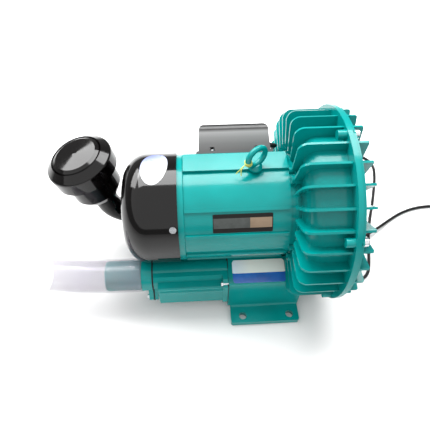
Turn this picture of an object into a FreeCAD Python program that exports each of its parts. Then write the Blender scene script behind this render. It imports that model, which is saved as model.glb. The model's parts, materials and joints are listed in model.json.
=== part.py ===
"""Side channel blower with a capacitor motor, two silencers, an intake filter and an outlet hose.

Millimetres. +Z is up, +X runs along the motor shaft from the fan cowl to the finned cover, and -Y is the front.
The origin is the centre of the four foot holes, on the plane that the feet stand on.
Each piece is one function, and the pieces are exported in the order in which the machine is assembled.
"""
import FreeCAD, Part
import math
import os
from FreeCAD import Placement, Rotation, Vector

os.makedirs("parts", exist_ok=True)

# Clearances and fits
FIT = 0.05              # radial running fit of shafts, bores and rings
SEAT = 0.3              # room round a piece that is pushed in by hand
RUN = 0.8               # running gap of the impeller in its housing

# Motor axis and housing joint. The radius of the flange is the size of the machine: the rest keeps to it.
FLANGE_R = 165.0        # radius of the housing flange
SIZE = FLANGE_R / 165.0
AXIS_Z = FLANGE_R + 7.0  # height of the shaft above the floor
JOINT_X = 108.0         # front face of the housing flange
FLANGE_T = 7.4          # thickness of the housing flange
DRUM_R = 142.0 * SIZE   # outer radius of the drum between the fins
DRUM_CORNER = 22.0      # rounding at the rear end of the drum
BACK_X = 41.0           # rear face of the housing
GASKET_T = 0.6          # thickness of every flat gasket

# Side channel and impeller
CHANNEL_OUT = DRUM_R - 6.0  # outer radius of the side channel
CHANNEL_IN = CHANNEL_OUT - 44.0  # inner radius of the side channel
REAR_CHANNEL_X = 68.0   # plane of the rear channel's mouth
REAR_CHANNEL_DEPTH = 20.0
FRONT_CHANNEL_X = 104.0  # plane of the front channel's mouth
FRONT_CHANNEL_DEPTH = 14.0
BLADES = 36
BLADE_T = 3.0
WEB_T = 5.0             # thickness of the impeller's disc
RIM_WALL = 6.0          # wall of the impeller's rim inside the blades
HUB_R = 24.0            # radius of the impeller's hub

# Cooling fins
FINS = 30
FIN_T = 3.6
FIN_R = FLANGE_R - 7.0  # radius of the fins' outer edges
FIN_BACK_X = 29.0       # rear ends of the fins
FIN_FOOT_R = 97.0 * SIZE  # where the fins end on the rear face
FIN_ROUND = 15.0        # rounding of the fins' rear corners
COVER_FIN_X = 131.0     # front edge of the cover's fins
COVER_FIN_ROUND = 3.0

# Front cover
COVER_R = FLANGE_R - 2.5  # radius of the cover's flange
COVER_T = 4.0           # thickness of the cover's flange
COVER_WALL = 6.0        # wall of the cover over the channel
COVER_DISC_X = 124.0    # front face of the cover's middle
COVER_RIM = 9.0         # flat rim of the flange outside the channel
COVER_HUB_R = 36.0      # raised middle of the cover
COVER_DISH = 5.0        # depth of the dish between the channel and the middle
COVER_HOLLOW_R = CHANNEL_IN - 30.0  # hollow for the hub and its nut

# Cover bolts
COVER_BOLTS = 6
COVER_BOLT_R = FLANGE_R - 8.5  # bolt circle
COVER_BOLT_D = 8.0
BOSS_R = 7.2            # bosses on the flange
BOSS_L = 13.5
HEAD_R = 6.5            # bolt heads
HEAD_H = 5.0
WASHER_T = 1.2

# Shaft and bearings
SHAFT_R = 12.5          # bearing seats
CORE_SEAT_R = 17.0      # seat of the rotor core
IMPELLER_SEAT_R = 12.0
THREAD_R = 8.0
FAN_SEAT_R = 10.0
BEARING_R = 26.0        # outer radius of both bearings
BEARING_W = 15.0
FRONT_BEARING_X = 12.0  # left face of the drive-end bearing
REAR_BEARING_X = -128.0  # left face of the rear bearing
BALLS = 9
BALL_R = 3.9
BALL_PATH_R = 19.3
SHAFT_REAR_X = -186.0
SHAFT_FRONT_X = 117.0
SEAL_R = 26.0
SEAL_T = 8.0
SEAL_X = 46.0
NUT_H = 9.0
KEY_W = 8.0
KEY_H = 7.0
KEY_L = 25.0

# Motor
BARREL_R = 88.0 * SIZE
BARREL_WALL = 4.0
BARREL_REAR_X = -139.0
BARREL_FRONT_X = 26.0
RIB_H = 2.8             # long ribs on the barrel
RIB_SHORT = 3.5         # the ribs end this far before the barrel does
RIB_W = 5.5
RIB_ANGLES = (48.0, 20.0, -8.0, -36.0, -64.0, 244.0, 216.0, 188.0)
CORE_X0 = -112.0        # both cores
CORE_X1 = -12.0
STATOR_BORE_R = 50.0 * SIZE
AIR_GAP = 0.6
WINDING_L = 16.0
WINDING_IN = STATOR_BORE_R + 4.0
WINDING_OUT = BARREL_R - 10.0
SLOT_OUT = BARREL_R - 16.0  # bottom of the stator's slots
END_RING_IN = BEARING_R + 8.0
END_RING_OUT = END_RING_IN + 10.0
SHIELD_T = 9.0          # part of the drive-end shield that stands out of the barrel
SHIELD_SPIGOT = 5.0
MOTOR_FACE_R = BARREL_R + 3.0  # raised face of the housing that the motor stands against
MOTOR_FACE_IN = BARREL_R - 4.0
MOTOR_HOLLOW_IN = 40.0
LUG_T = 4.0             # thickness of the shield's four lugs
MOTOR_BOLT_R = BARREL_R + 7.5  # circle of the four bolts between motor and housing
MOTOR_BOLT_A = 74.0     # angle of the first of them
MOTOR_BOLT_D = 8.0
EAR_R = 8.0
TIE_BOSS_R = 5.5        # bosses for the tie bolts that clamp the two shields on the barrel
TIE_BOSS_A = 88.0
REAR_RIM_R = BARREL_R + 2.0  # visible rim of the rear shield

# Saddle on the barrel
PAD_Z = BARREL_R + 5.0  # height of the eye bolt's pad over the axis
PAD_FRONT_Y = -2.0
BOX_P = BARREL_R + 2.0  # distance of the box's seat from the axis
BOX_HALF = 42.0         # half the seat's width

# Lifting eye bolt
EYE_X = -26.0
EYE_COLLAR_R = 11.0
EYE_COLLAR_H = 5.0
EYE_CENTRE_H = 24.0     # centre of the ring over the pad
EYE_RING_R = 16.2       # centreline radius of the ring
EYE_WIRE_R = 4.5
EYE_TURN = 33.0         # how far the ring is screwed round
EYE_THREAD_R = 5.0
EYE_THREAD_L = 7.0

# Fan and cowl
COWL_R = BARREL_R + 5.5
COWL_WALL = 2.0
COWL_FRONT_X = -149.0
COWL_REAR_X = -239.0
COWL_CORNER = 40.0 * SIZE  # rounding of the domed end
GRILLE_R = 52.0 * SIZE
GRILLE_BARS = 8
GRILLE_BAR_W = 4.0
GRILLE_RING_W = 3.4
GRILLE_PITCH = 8.6
FAN_X0 = -182.0
FAN_X1 = -156.0
FAN_R = BARREL_R - 18.0
FAN_HUB_R = 17.0
FAN_BLADES = 8
FAN_BLADE_T = 2.5
COWL_SCREW_X = -157.0
COWL_SCREWS = 3
COWL_SCREW_A = 31.0
COWL_HEAD_R = 5.4
COWL_HEAD_H = 2.6

# Capacitor and terminal box, seated at 45 degrees on the back of the saddle
BOX_X0 = -113.0
BOX_X1 = 3.0
BOX_RIM = 4.0           # flange round the foot of the box
BASE_T = 4.0
COVER_BOX_TOP = BOX_P + 46.0  # distance of the box's outer face from the axis
BOX_TOP_HALF = 37.0     # half the outer face's width
BOX_ROUND = 8.0
BOX_DRAFT = 4.0         # slope of the box's end walls
BOX_WALL = 2.6
CAP_R = BOX_HALF * 8 / 21  # capacitors
CAP_L = BOX_X1 - BOX_X0 - 38.0
GROMMET_R = 5.0
LEAD_WALL = (3.0, 65.2 * SIZE, AXIS_Z + 77.1 * SIZE)  # where the lead crosses the box's end wall

# Ports, one each side, with a silencer on each
PORT_Y = 73.0 * SIZE
PORT_DROP = 99.0 * SIZE  # ports below the motor axis
PORT_BORE_R = 23.0
BLOCK_X0 = -70.0        # silencer joint
BLOCK_X1 = 62.0
BLOCK_FRONT = PORT_Y + 39.0  # outer wall of the port block
BLOCK_INNER = PORT_Y - 37.0  # inner wall
BLOCK_EDGE_Z = 21.0 - PORT_DROP  # height of its outer top edge, from the axis
BLOCK_TOP_Z = 29.0 - PORT_DROP
BLOCK_TOP_Y = PORT_Y - 9.0
BLOCK_ROUND = 4.0

# Feet
FOOT_X0 = -65.0
FOOT_X1 = 60.0
FOOT_Y = PORT_Y + 74.0  # outer edge of the feet
FOOT_T = 12.0
FOOT_HOLE_R = 7.0
FOOT_PITCH_X = 86.0
FOOT_PITCH_Y = 2 * (PORT_Y + 61.0)
FOOT_CORNER = 4.0

# Silencers
SIL_X0 = -201.4         # flange end of the castings
SIL_TUBE_R = 29.0
SIL_LEDGE_Z = 13.0 - PORT_DROP  # ledge along the casting, from the axis
SIL_LEDGE_Y = PORT_Y + 25.0
SIL_BOTTOM_Z = -PORT_DROP - 42.0
SIL_BACK_Y = PORT_Y - 21.0
SIL_FLANGE_T = 9.0
SIL_FLANGE_FRONT = PORT_Y + 41.0
SIL_FLANGE_BOTTOM_Z = -PORT_DROP - 45.0
SIL_SCREWS = ((PORT_Y + 35.0, 18.0 - PORT_DROP), (PORT_Y - 25.0, -PORT_DROP - 39.5))
SIL_WALL = 5.0
SCREW_R = 2.4           # shanks of the silencers' screws
SIL_END_T = 7.0
FOAM_T = 6.0

# Port flanges with nipples
PLATE_X0 = -211.0
PLATE_R = 29.5
LUG_R = 40.0            # circle of the two flange screws
LUG_ROUND = 7.5
LUG_ANGLES = (225.0, 0.0)  # the inner one sits level, clear of the cowl
COLLAR_X0 = -221.0
COLLAR_R = 31.0
NIPPLE_R = 27.0
NIPPLE_X0 = -284.0
NIPPLE_BORE_R = 22.5
INTAKE_NIPPLE_X0 = -243.5

# Hose: a straight length, pushed over the nipple up to the collar
HOSE_R = 30.0
HOSE_BORE_R = 27.3
HOSE_ROUTE = (
    (-221.3, -PORT_Y, AXIS_Z - PORT_DROP),
    (-290.0, -PORT_Y, AXIS_Z - PORT_DROP),
    (-345.0, -PORT_Y + 1.8, AXIS_Z - PORT_DROP + 1.6),
    (-388.0, -PORT_Y + 5.0, AXIS_Z - PORT_DROP + 4.2),
)

# Intake elbow and filter
FILTER_X = -291.0
FILTER_LEAN = 14.0      # the filter leans this far away from the motor
ELBOW_SOCKET_R = 31.0
ELBOW_SOCKET_X0 = -247.0
ELBOW_R = 22.0
ELBOW_WALL = 3.0
ELBOW_BEND = 45.0
FILTER_FLOOR_Z = -19.0  # underside of the filter, from the axis
FILTER_BODY_R = 45.5
FILTER_BODY_TOP_Z = 54.0
FILTER_CAP_R = 58.0
FILTER_SKIRT_Z = 38.0
FILTER_RIM_Z = 70.0
FILTER_DOME_Z = 80.0
FILTER_DISC_R = 42.0
FILTER_WALL = 2.5
NECK_COLLAR_R = 26.0
NECK_COLLAR_H = 14.0
PLEAT_OUT = FILTER_BODY_R - 10.3
PLEAT_IN = PLEAT_OUT - 4.2
PLEAT_BORE = PLEAT_OUT - 10.2

# Mains lead: out of the box, down behind the barrel, a loose loop on the floor, then the coil with the plug on it
LEAD_R = 3.0
LEAD_ROUTE = (
    (-19.9, 58.9 * SIZE, AXIS_Z + 83.9 * SIZE),
    (21.7, 70.4 * SIZE, AXIS_Z + 71.6 * SIZE),
    (21.7, 104.0 * SIZE, AXIS_Z + 35.0 * SIZE),
    (22.0, 118.0 * SIZE, AXIS_Z - 12.0 * SIZE),
    (22.0, 126.0 * SIZE, AXIS_Z - 67.0 * SIZE),
    (24.0, 135.0 * SIZE, AXIS_Z - 112.0 * SIZE),
    (31.0, 152.0, 24.0),
    (50.0, 180.0, 4.5),
    (84.0, 208.0, 3.1),
    (124.0, 234.0, 3.1),
    (168.0, 255.0, 3.1),
    (214.0, 270.0, 3.1),
    (258.0, 274.0, 3.1),
    (294.0, 264.0, 3.1),
    (308.0, 236.0, 3.1),
    (301.0, 200.0, 3.1),
    (289.0, 165.0, 3.1),
    (273.0, 120.0, 3.1),
    (250.0, 66.0, 3.1),
    (235.0, 14.0, 3.1),
    (225.0, -30.0, 3.1),
    (214.0, -59.0, 3.1),
    (187.0, -71.0, 3.1),
    (160.0, -59.0, 3.1),
    (149.0, -30.0, 3.1),
    (160.0, -1.0, 3.1),
    (190.0, 17.0, 3.3),
    (226.0, 29.0, 10.2),
    (260.0, 47.0, 10.2),
    (290.0, 69.0, 3.4),
    (326.0, 91.0, 3.1),
    (366.0, 105.0, 3.1),
    (410.0, 108.0, 3.1),
    (458.4, 100.8, 3.1),
)
COIL_CENTRE = (482.0, 140.0)
COIL_R = 32.2           # middle of the coil's ring
COIL_HALF_W = 10.8
COIL_H = 6.2
PLUG_BASE = (453.0, 117.0, 6.3)
PLUG_L = 34.0
PLUG_W = 38.0
PLUG_H = 20.0
PLUG_NOSE_L = 8.0       # tapered end where the lead goes in
PLUG_NOSE_W = 16.0
PLUG_ROUND = 6.0
PIN_R = 2.4
PIN_L = 19.0
PIN_PITCH = 19.0

X_AXIS = Vector(1, 0, 0)
Y_AXIS = Vector(0, 1, 0)
Z_AXIS = Vector(0, 0, 1)
CENTRE = Vector(0, 0, AXIS_Z)
BEND_CENTRE = Vector(FILTER_X + ELBOW_BEND, PORT_Y, AXIS_Z - PORT_DROP + ELBOW_BEND)


def save(name, shape):
    """Write one piece, or one group of like pieces, to its STEP file."""
    shape.exportStep("parts/" + name + ".step")
    state = "ok" if shape.isValid() else "INVALID"
    print(name, state, "solids", len(shape.Solids), "volume", round(shape.Volume))


def group(shapes):
    """Put separate solids in one compound."""
    return Part.makeCompound(shapes)


def rod_x(radius, x0, x1, y=0.0, z=AXIS_Z):
    """Return a cylinder along X."""
    return Part.makeCylinder(radius, x1 - x0, Vector(x0, y, z), X_AXIS)


def ring_x(outer, inner, x0, x1, y=0.0, z=AXIS_Z):
    """Return a hollow cylinder along X."""
    return rod_x(outer, x0, x1, y, z).cut(rod_x(inner, x0 - 1, x1 + 1, y, z))


def rod_z(radius, z0, z1, x, y):
    """Return a cylinder along Z."""
    return Part.makeCylinder(radius, z1 - z0, Vector(x, y, z0), Z_AXIS)


def box(x0, x1, y0, y1, z0, z1):
    """Return a block between two corners."""
    return Part.makeBox(x1 - x0, y1 - y0, z1 - z0, Vector(x0, y0, z0))


def outline(points, rounds=None):
    """Return a closed wire through points, with the corners named in rounds made into arcs of that radius."""
    rounds = rounds or {}
    count = len(points)
    edges = []
    starts = []
    for i, corner in enumerate(points):
        before = points[i - 1]
        after = points[(i + 1) % count]
        if i not in rounds:
            starts.append((corner, corner, None))
            continue
        to_before = (before - corner).normalize()
        to_after = (after - corner).normalize()
        half = to_before.getAngle(to_after) / 2
        reach = rounds[i] / math.tan(half)
        middle = (to_before + to_after).normalize()
        centre = corner + middle * (rounds[i] / math.sin(half))
        starts.append((corner + to_before * reach, corner + to_after * reach, centre - middle * rounds[i]))
    for i, (first, last, via) in enumerate(starts):
        if via is not None:
            edges.append(Part.Arc(first, via, last).toShape())
        following = starts[(i + 1) % count][0]
        if (following - last).Length > 1e-6:
            edges.append(Part.LineSegment(last, following).toShape())
    return Part.Wire(edges)


def prism(points, direction, rounds=None):
    """Extrude a closed outline."""
    return Part.Face(outline(points, rounds)).extrude(direction)


def turned(profile, rounds=None):
    """Revolve a closed (x, r) profile about the motor axis."""
    points = [Vector(x, 0, AXIS_Z + r) for x, r in profile]
    return Part.Face(outline(points, rounds)).revolve(CENTRE, X_AXIS, 360)


def turned_z(profile, x, y, rounds=None):
    """Revolve a closed (r, z) profile about an upright axis."""
    points = [Vector(x + r, y, z) for r, z in profile]
    return Part.Face(outline(points, rounds)).revolve(Vector(x, y, 0), Z_AXIS, 360)


def section_x(points_yz, x0, x1, rounds=None):
    """Extrude a (y, z) section along X, with z measured from the motor axis."""
    points = [Vector(x0, y, AXIS_Z + z) for y, z in points_yz]
    return prism(points, Vector(x1 - x0, 0, 0), rounds)


def around(shape, degrees):
    """Turn a shape about the motor axis, upwards from the front (-Y)."""
    copy = shape.copy()
    copy.rotate(CENTRE, X_AXIS, -degrees)
    return copy


def pattern(shape, count, first):
    """Return copies of a shape evenly spaced about the motor axis. The shape is drawn at the front (-Y)."""
    return [around(shape, first + 360.0 * i / count) for i in range(count)]


def mirrored(shape):
    """Return the mirror image on the other side of the motor axis."""
    return shape.mirror(Vector(0, 0, 0), Vector(0, 1, 0))


def seated(shape):
    """Move a piece drawn upright at the top of the axis to the box's seat, 45 degrees to the back."""
    return around(shape, 45)


def half_ring(mouth_x, depth, grow=0.0):
    """Return the ring of half-oval section that forms one side of the channel."""
    middle = (CHANNEL_IN + CHANNEL_OUT) / 2
    half = (CHANNEL_OUT - CHANNEL_IN) / 2 + grow
    bottom = mouth_x + depth + (grow if depth > 0 else -grow)
    low = Vector(mouth_x, 0, AXIS_Z + middle - half)
    high = Vector(mouth_x, 0, AXIS_Z + middle + half)
    deep = Vector(bottom, 0, AXIS_Z + middle)
    edges = [Part.Arc(low, deep, high).toShape(), Part.LineSegment(high, low).toShape()]
    return Part.Face(Part.Wire(edges)).revolve(CENTRE, X_AXIS, 360)


def rear_fin():
    """Return one radial fin of the housing, drawn at the front."""
    corners = [
        Vector(JOINT_X - FLANGE_T, 0, FIN_R),
        Vector(FIN_BACK_X, 0, FIN_R),
        Vector(FIN_BACK_X, 0, FIN_FOOT_R),
        Vector(BACK_X + 2, 0, FIN_FOOT_R - 8),
        Vector(BACK_X + 2, 0, DRUM_R - 14),
        Vector(JOINT_X - FLANGE_T, 0, DRUM_R - 2),
    ]
    turn = Rotation(X_AXIS, 90)
    points = [CENTRE + turn.multVec(p) for p in corners]
    plate = Part.Face(outline(points, {1: FIN_ROUND, 2: 5.0}))
    fin = plate.extrude(Vector(0, 0, FIN_T))
    fin.translate(Vector(0, 0, -FIN_T / 2))
    return fin


def cover_fin():
    """Return one radial fin of the front cover, drawn at the front."""
    crest = FRONT_CHANNEL_X + FRONT_CHANNEL_DEPTH + COVER_WALL
    flange = JOINT_X + GASKET_T + COVER_T
    corners = [
        Vector(flange - 1, 0, FIN_R),
        Vector(COVER_FIN_X, 0, FIN_R),
        Vector(COVER_FIN_X, 0, CHANNEL_IN + 4),
        Vector(crest - 2, 0, CHANNEL_IN - 8),
        Vector(crest - 2, 0, CHANNEL_OUT - 10),
        Vector(flange - 1, 0, CHANNEL_OUT + 4),
    ]
    turn = Rotation(X_AXIS, 90)
    points = [CENTRE + turn.multVec(p) for p in corners]
    plate = Part.Face(outline(points, {1: COVER_FIN_ROUND, 2: 3.0}))
    fin = plate.extrude(Vector(0, 0, FIN_T))
    fin.translate(Vector(0, 0, -FIN_T / 2))
    return fin


def at_front(radius, x0, x1, circle):
    """Return a cylinder along X on a circle about the axis, drawn at the front."""
    return rod_x(radius, x0, x1, -circle, AXIS_Z)


def port_block():
    """Return one cast port block with its foot, on the front side, before its duct is bored."""
    block = section_x(
        [
            (-BLOCK_FRONT, -AXIS_Z + 1),
            (-BLOCK_FRONT, BLOCK_EDGE_Z),
            (-BLOCK_TOP_Y, BLOCK_TOP_Z),
            (-BLOCK_INNER, BLOCK_TOP_Z - 20),
            (-BLOCK_INNER, -AXIS_Z + 1),
        ],
        BLOCK_X0,
        BLOCK_X1,
        {1: BLOCK_ROUND},
    )
    foot_points = [
        Vector(FOOT_X0, -BLOCK_INNER, 0),
        Vector(FOOT_X0, -FOOT_Y, 0),
        Vector(FOOT_X1, -FOOT_Y, 0),
        Vector(FOOT_X1, -BLOCK_INNER, 0),
    ]
    foot = prism(foot_points, Vector(0, 0, FOOT_T), {1: FOOT_CORNER, 2: FOOT_CORNER})
    below = box(BLOCK_X0 - 1, FOOT_X0, -BLOCK_FRONT - 1, -BLOCK_INNER + 1, -1, FOOT_T)
    return block.cut(below).fuse(foot)


def drum_envelope():
    """Return the solid outer shape of the drum, without fins."""
    return turned(
        [(BACK_X, 0), (BACK_X, DRUM_R), (JOINT_X - FLANGE_T, DRUM_R), (JOINT_X - FLANGE_T, 0)],
        {1: DRUM_CORNER},
    )


def block_solid():
    """Return the front port block with its foot, fitted round the drum, before its duct is bored."""
    return port_block().fuse(foot_fillet()).cut(drum_envelope())


def port_duct(x0, x1, side):
    """Return the duct of one port, from x0 to x1."""
    return rod_x(PORT_BORE_R, x0, x1, side * PORT_Y, AXIS_Z - PORT_DROP)


def finished_block():
    """Return the front port block with its duct, its foot holes and its threads for the silencer."""
    cuts = [port_duct(BLOCK_X0 - 1, BLOCK_X1 - 2, -1)]
    for y, z in SIL_SCREWS:
        cuts.append(rod_x(SCREW_R + 0.05, BLOCK_X0 - 1, BLOCK_X0 + 14, -y, AXIS_Z + z))
    for x in (-FOOT_PITCH_X / 2, FOOT_PITCH_X / 2):
        cuts.append(rod_z(FOOT_HOLE_R, -1, FOOT_T + 30, x, -FOOT_PITCH_Y / 2))
    return block_solid().cut(cuts)


def foot_fillet():
    """Return the concave strip between the block's outer wall and the foot."""
    size = 5.0
    strip = box(FOOT_X0, FOOT_X1, -BLOCK_FRONT - size, -BLOCK_FRONT + 1, FOOT_T - 1, FOOT_T + size)
    return strip.cut(rod_x(size, FOOT_X0 - 1, FOOT_X1 + 1, -BLOCK_FRONT - size, FOOT_T + size))


def rear_housing():
    """Return the finned drum: the motor side of the channel, its flange and the motor's seat."""
    shell = turned(
        [
            (BACK_X, SEAL_R + SEAT / 10),
            (BACK_X, DRUM_R),
            (JOINT_X - FLANGE_T, DRUM_R),
            (JOINT_X - FLANGE_T, FLANGE_R),
            (JOINT_X, FLANGE_R),
            (JOINT_X, CHANNEL_OUT),
            (REAR_CHANNEL_X, CHANNEL_OUT),
            (REAR_CHANNEL_X, SEAL_R + SEAT / 10),
        ],
        {1: DRUM_CORNER},
    )
    bosses = pattern(at_front(BOSS_R, JOINT_X - FLANGE_T - BOSS_L, JOINT_X - 1, COVER_BOLT_R), COVER_BOLTS, 30)
    seat_x = BARREL_FRONT_X + SHIELD_T
    ears = pattern(at_front(EAR_R, seat_x, BACK_X + 2, MOTOR_BOLT_R), 4, MOTOR_BOLT_A)
    face = ring_x(MOTOR_FACE_R, MOTOR_FACE_IN, seat_x, BACK_X + 2)
    block = block_solid()
    fins = [fin.cut([block, mirrored(block)]) for fin in pattern(rear_fin(), FINS, 0)]
    body = shell.fuse(fins + bosses + ears + [face])
    body = body.cut(rod_x(CHANNEL_OUT, REAR_CHANNEL_X, JOINT_X + 1))
    cuts = [half_ring(REAR_CHANNEL_X, -REAR_CHANNEL_DEPTH)]
    cuts += [rod_x(SEAL_R + SEAT / 10, BACK_X - 1, REAR_CHANNEL_X + 1)]
    # The stripper closes the channel between the two ports, at the bottom
    stripper = section_x([(-20, -CHANNEL_OUT - 2), (-20, -80), (20, -80), (20, -CHANNEL_OUT - 2)], 47, REAR_CHANNEL_X)
    cuts[0] = cuts[0].cut(stripper)
    cuts += [port_duct(BACK_X - 5, BLOCK_X1 - 2, side) for side in (-1, 1)]
    shank = at_front(COVER_BOLT_D / 2, JOINT_X - FLANGE_T - BOSS_L + 3, JOINT_X + 1, COVER_BOLT_R)
    cuts += pattern(shank, COVER_BOLTS, 30)
    screw = at_front(MOTOR_BOLT_D / 2, BARREL_FRONT_X, BACK_X + 12, MOTOR_BOLT_R)
    cuts += pattern(screw, 4, MOTOR_BOLT_A)
    cuts += pattern(at_front(EAR_R + 1, BARREL_FRONT_X - 6, seat_x, MOTOR_BOLT_R), 4, MOTOR_BOLT_A)
    # Hollow under the motor flange, so that the wall round the seal stays even
    cuts.append(ring_x(MOTOR_FACE_IN, MOTOR_HOLLOW_IN, BACK_X - 1, BACK_X + 13))
    return body.cut(cuts)


def front_cover():
    """Return the finned cover with its half of the channel."""
    face = JOINT_X + GASKET_T
    flange = face + COVER_T
    crest = FRONT_CHANNEL_X + FRONT_CHANNEL_DEPTH + COVER_WALL
    plate = turned(
        [
            (face, 0),
            (face, COVER_R),
            (flange, COVER_R),
            (flange, CHANNEL_OUT + COVER_RIM),
            (crest, CHANNEL_OUT - 8),
            (crest, CHANNEL_IN - 2),
            (COVER_DISC_X - COVER_DISH, CHANNEL_IN - 10),
            (COVER_DISC_X - COVER_DISH, COVER_HUB_R + 4),
            (COVER_DISC_X, COVER_HUB_R),
            (COVER_DISC_X, 0),
        ],
        {4: 6.0, 5: 5.0},
    )
    spigot = ring_x(CHANNEL_OUT - SEAT, COVER_HOLLOW_R, FRONT_CHANNEL_X, face + 1)
    boss = at_front(BOSS_R, face + 1, flange + 0.2, COVER_BOLT_R)
    body = plate.fuse([spigot] + pattern(cover_fin(), FINS, 0) + pattern(boss, COVER_BOLTS, 30))
    stripper = section_x([(-20, -CHANNEL_OUT - 2), (-20, -80), (20, -80), (20, -CHANNEL_OUT - 2)],
                         FRONT_CHANNEL_X, face + 6)
    channel = half_ring(FRONT_CHANNEL_X, FRONT_CHANNEL_DEPTH)
    channel = channel.common(rod_x(CHANNEL_OUT - 4, FRONT_CHANNEL_X - 1, crest)).cut(stripper)
    hollow = rod_x(COVER_HOLLOW_R, FRONT_CHANNEL_X - 1, COVER_DISC_X - COVER_DISH - 0.5)
    holes = pattern(at_front(COVER_BOLT_D / 2 + SEAT, face - 1, flange + 3, COVER_BOLT_R), COVER_BOLTS, 30)
    return body.cut([channel, hollow] + holes)


def cover_gasket():
    """Return the flat ring between the housing and the cover."""
    ring = ring_x(COVER_R, CHANNEL_OUT + 1, JOINT_X, JOINT_X + GASKET_T)
    holes = pattern(at_front(COVER_BOLT_D / 2 + SEAT, JOINT_X - 1, JOINT_X + 2, COVER_BOLT_R), COVER_BOLTS, 30)
    return ring.cut(holes)


def cap_screw(radius, head_radius, head_height, head_x, shank_length, y, z, socket=True):
    """Return a screw along X whose head lies on the +X side of head_x and whose shank runs towards -X."""
    head = rod_x(head_radius, head_x, head_x + head_height, y, z)
    shank = rod_x(radius, head_x - shank_length, head_x + 1, y, z)
    screw = head.fuse(shank)
    if socket:
        depth = head_height * 0.55
        screw = screw.cut(hexagon_x(head_radius * 0.5, head_x + head_height - depth, head_x + head_height + 1, y, z))
    return screw


def hexagon_x(radius, x0, x1, y, z):
    """Return a hexagonal prism along X, with corners at the given radius."""
    points = []
    for i in range(6):
        a = math.radians(60 * i)
        points.append(Vector(x0, y + radius * math.cos(a), z + radius * math.sin(a)))
    return prism(points, Vector(x1 - x0, 0, 0))


def cover_bolts():
    """Return the six socket screws of the cover."""
    seat = JOINT_X + GASKET_T + COVER_T + 0.2 + WASHER_T
    length = seat - (JOINT_X - FLANGE_T - BOSS_L + 3) - 1
    screw = cap_screw(COVER_BOLT_D / 2 - FIT, HEAD_R, HEAD_H, seat, length, -COVER_BOLT_R, AXIS_Z)
    return group(pattern(screw, COVER_BOLTS, 30))


def cover_washers():
    """Return the washers under the cover screws."""
    seat = JOINT_X + GASKET_T + COVER_T + 0.2
    washer = ring_x(HEAD_R + 0.6, COVER_BOLT_D / 2 + SEAT / 2, seat, seat + WASHER_T, -COVER_BOLT_R, AXIS_Z)
    return group(pattern(washer, COVER_BOLTS, 30))


def impeller():
    """Return the cast impeller: hub, disc and a ring of open blades on both faces."""
    x0 = REAR_CHANNEL_X + RUN
    x1 = FRONT_CHANNEL_X - RUN
    middle = (x0 + x1) / 2
    tip = CHANNEL_OUT - SEAT - 1.0
    rim_in = CHANNEL_IN + 2
    body = turned(
        [
            (x0 + 2, IMPELLER_SEAT_R + FIT),
            (x0 + 2, HUB_R),
            (middle - WEB_T / 2, HUB_R + 6),
            (middle - WEB_T / 2, rim_in - RIM_WALL - 6),
            (x0, rim_in - RIM_WALL),
            (x0, rim_in),
            (middle - WEB_T / 2, rim_in + 12),
            (middle - 1.5, tip),
            (middle + 1.5, tip),
            (middle + WEB_T / 2, rim_in + 12),
            (x1, rim_in),
            (x1, rim_in - RIM_WALL),
            (middle + WEB_T / 2, rim_in - RIM_WALL - 6),
            (middle + WEB_T / 2, HUB_R + 6),
            (x1 - 1, HUB_R),
            (x1 - 1, IMPELLER_SEAT_R + FIT),
        ]
    )
    blade = box(x0, x1, -tip, -(rim_in - 2), AXIS_Z - BLADE_T / 2, AXIS_Z + BLADE_T / 2)
    body = body.fuse(pattern(blade, BLADES, 0))
    keyway = box(x0, x1, -KEY_W / 2, KEY_W / 2, AXIS_Z, AXIS_Z + IMPELLER_SEAT_R + 3)
    return body.cut(keyway)


def impeller_key():
    """Return the key between shaft and impeller."""
    x0 = REAR_CHANNEL_X + RUN + 3
    half = KEY_W / 2 - FIT
    return box(x0, x0 + KEY_L, -half, half, AXIS_Z + 8.2, AXIS_Z + 8.2 + KEY_H - 0.4)


def impeller_spacer():
    """Return the sleeve between the drive-end bearing and the hub, on which the seal runs."""
    return ring_x(CORE_SEAT_R, IMPELLER_SEAT_R + FIT, FRONT_BEARING_X + BEARING_W, REAR_CHANNEL_X + RUN + 2)


def impeller_washer():
    """Return the thick washer under the impeller nut."""
    x0 = FRONT_CHANNEL_X - RUN - 1
    return ring_x(17.0, THREAD_R + SEAT, x0, x0 + 3)


def impeller_nut():
    """Return the nut that holds the impeller on the shaft."""
    x0 = FRONT_CHANNEL_X - RUN + 2
    nut = hexagon_x(13.9, x0, x0 + NUT_H, 0, AXIS_Z)
    bevel = turned([(x0 - 1, 0), (x0 - 1, 15), (x0 + NUT_H - 1.5, 15), (x0 + NUT_H, 12), (x0 + NUT_H, 0)])
    return nut.common(bevel).cut(rod_x(THREAD_R + FIT, x0 - 1, x0 + NUT_H + 1))


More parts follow.
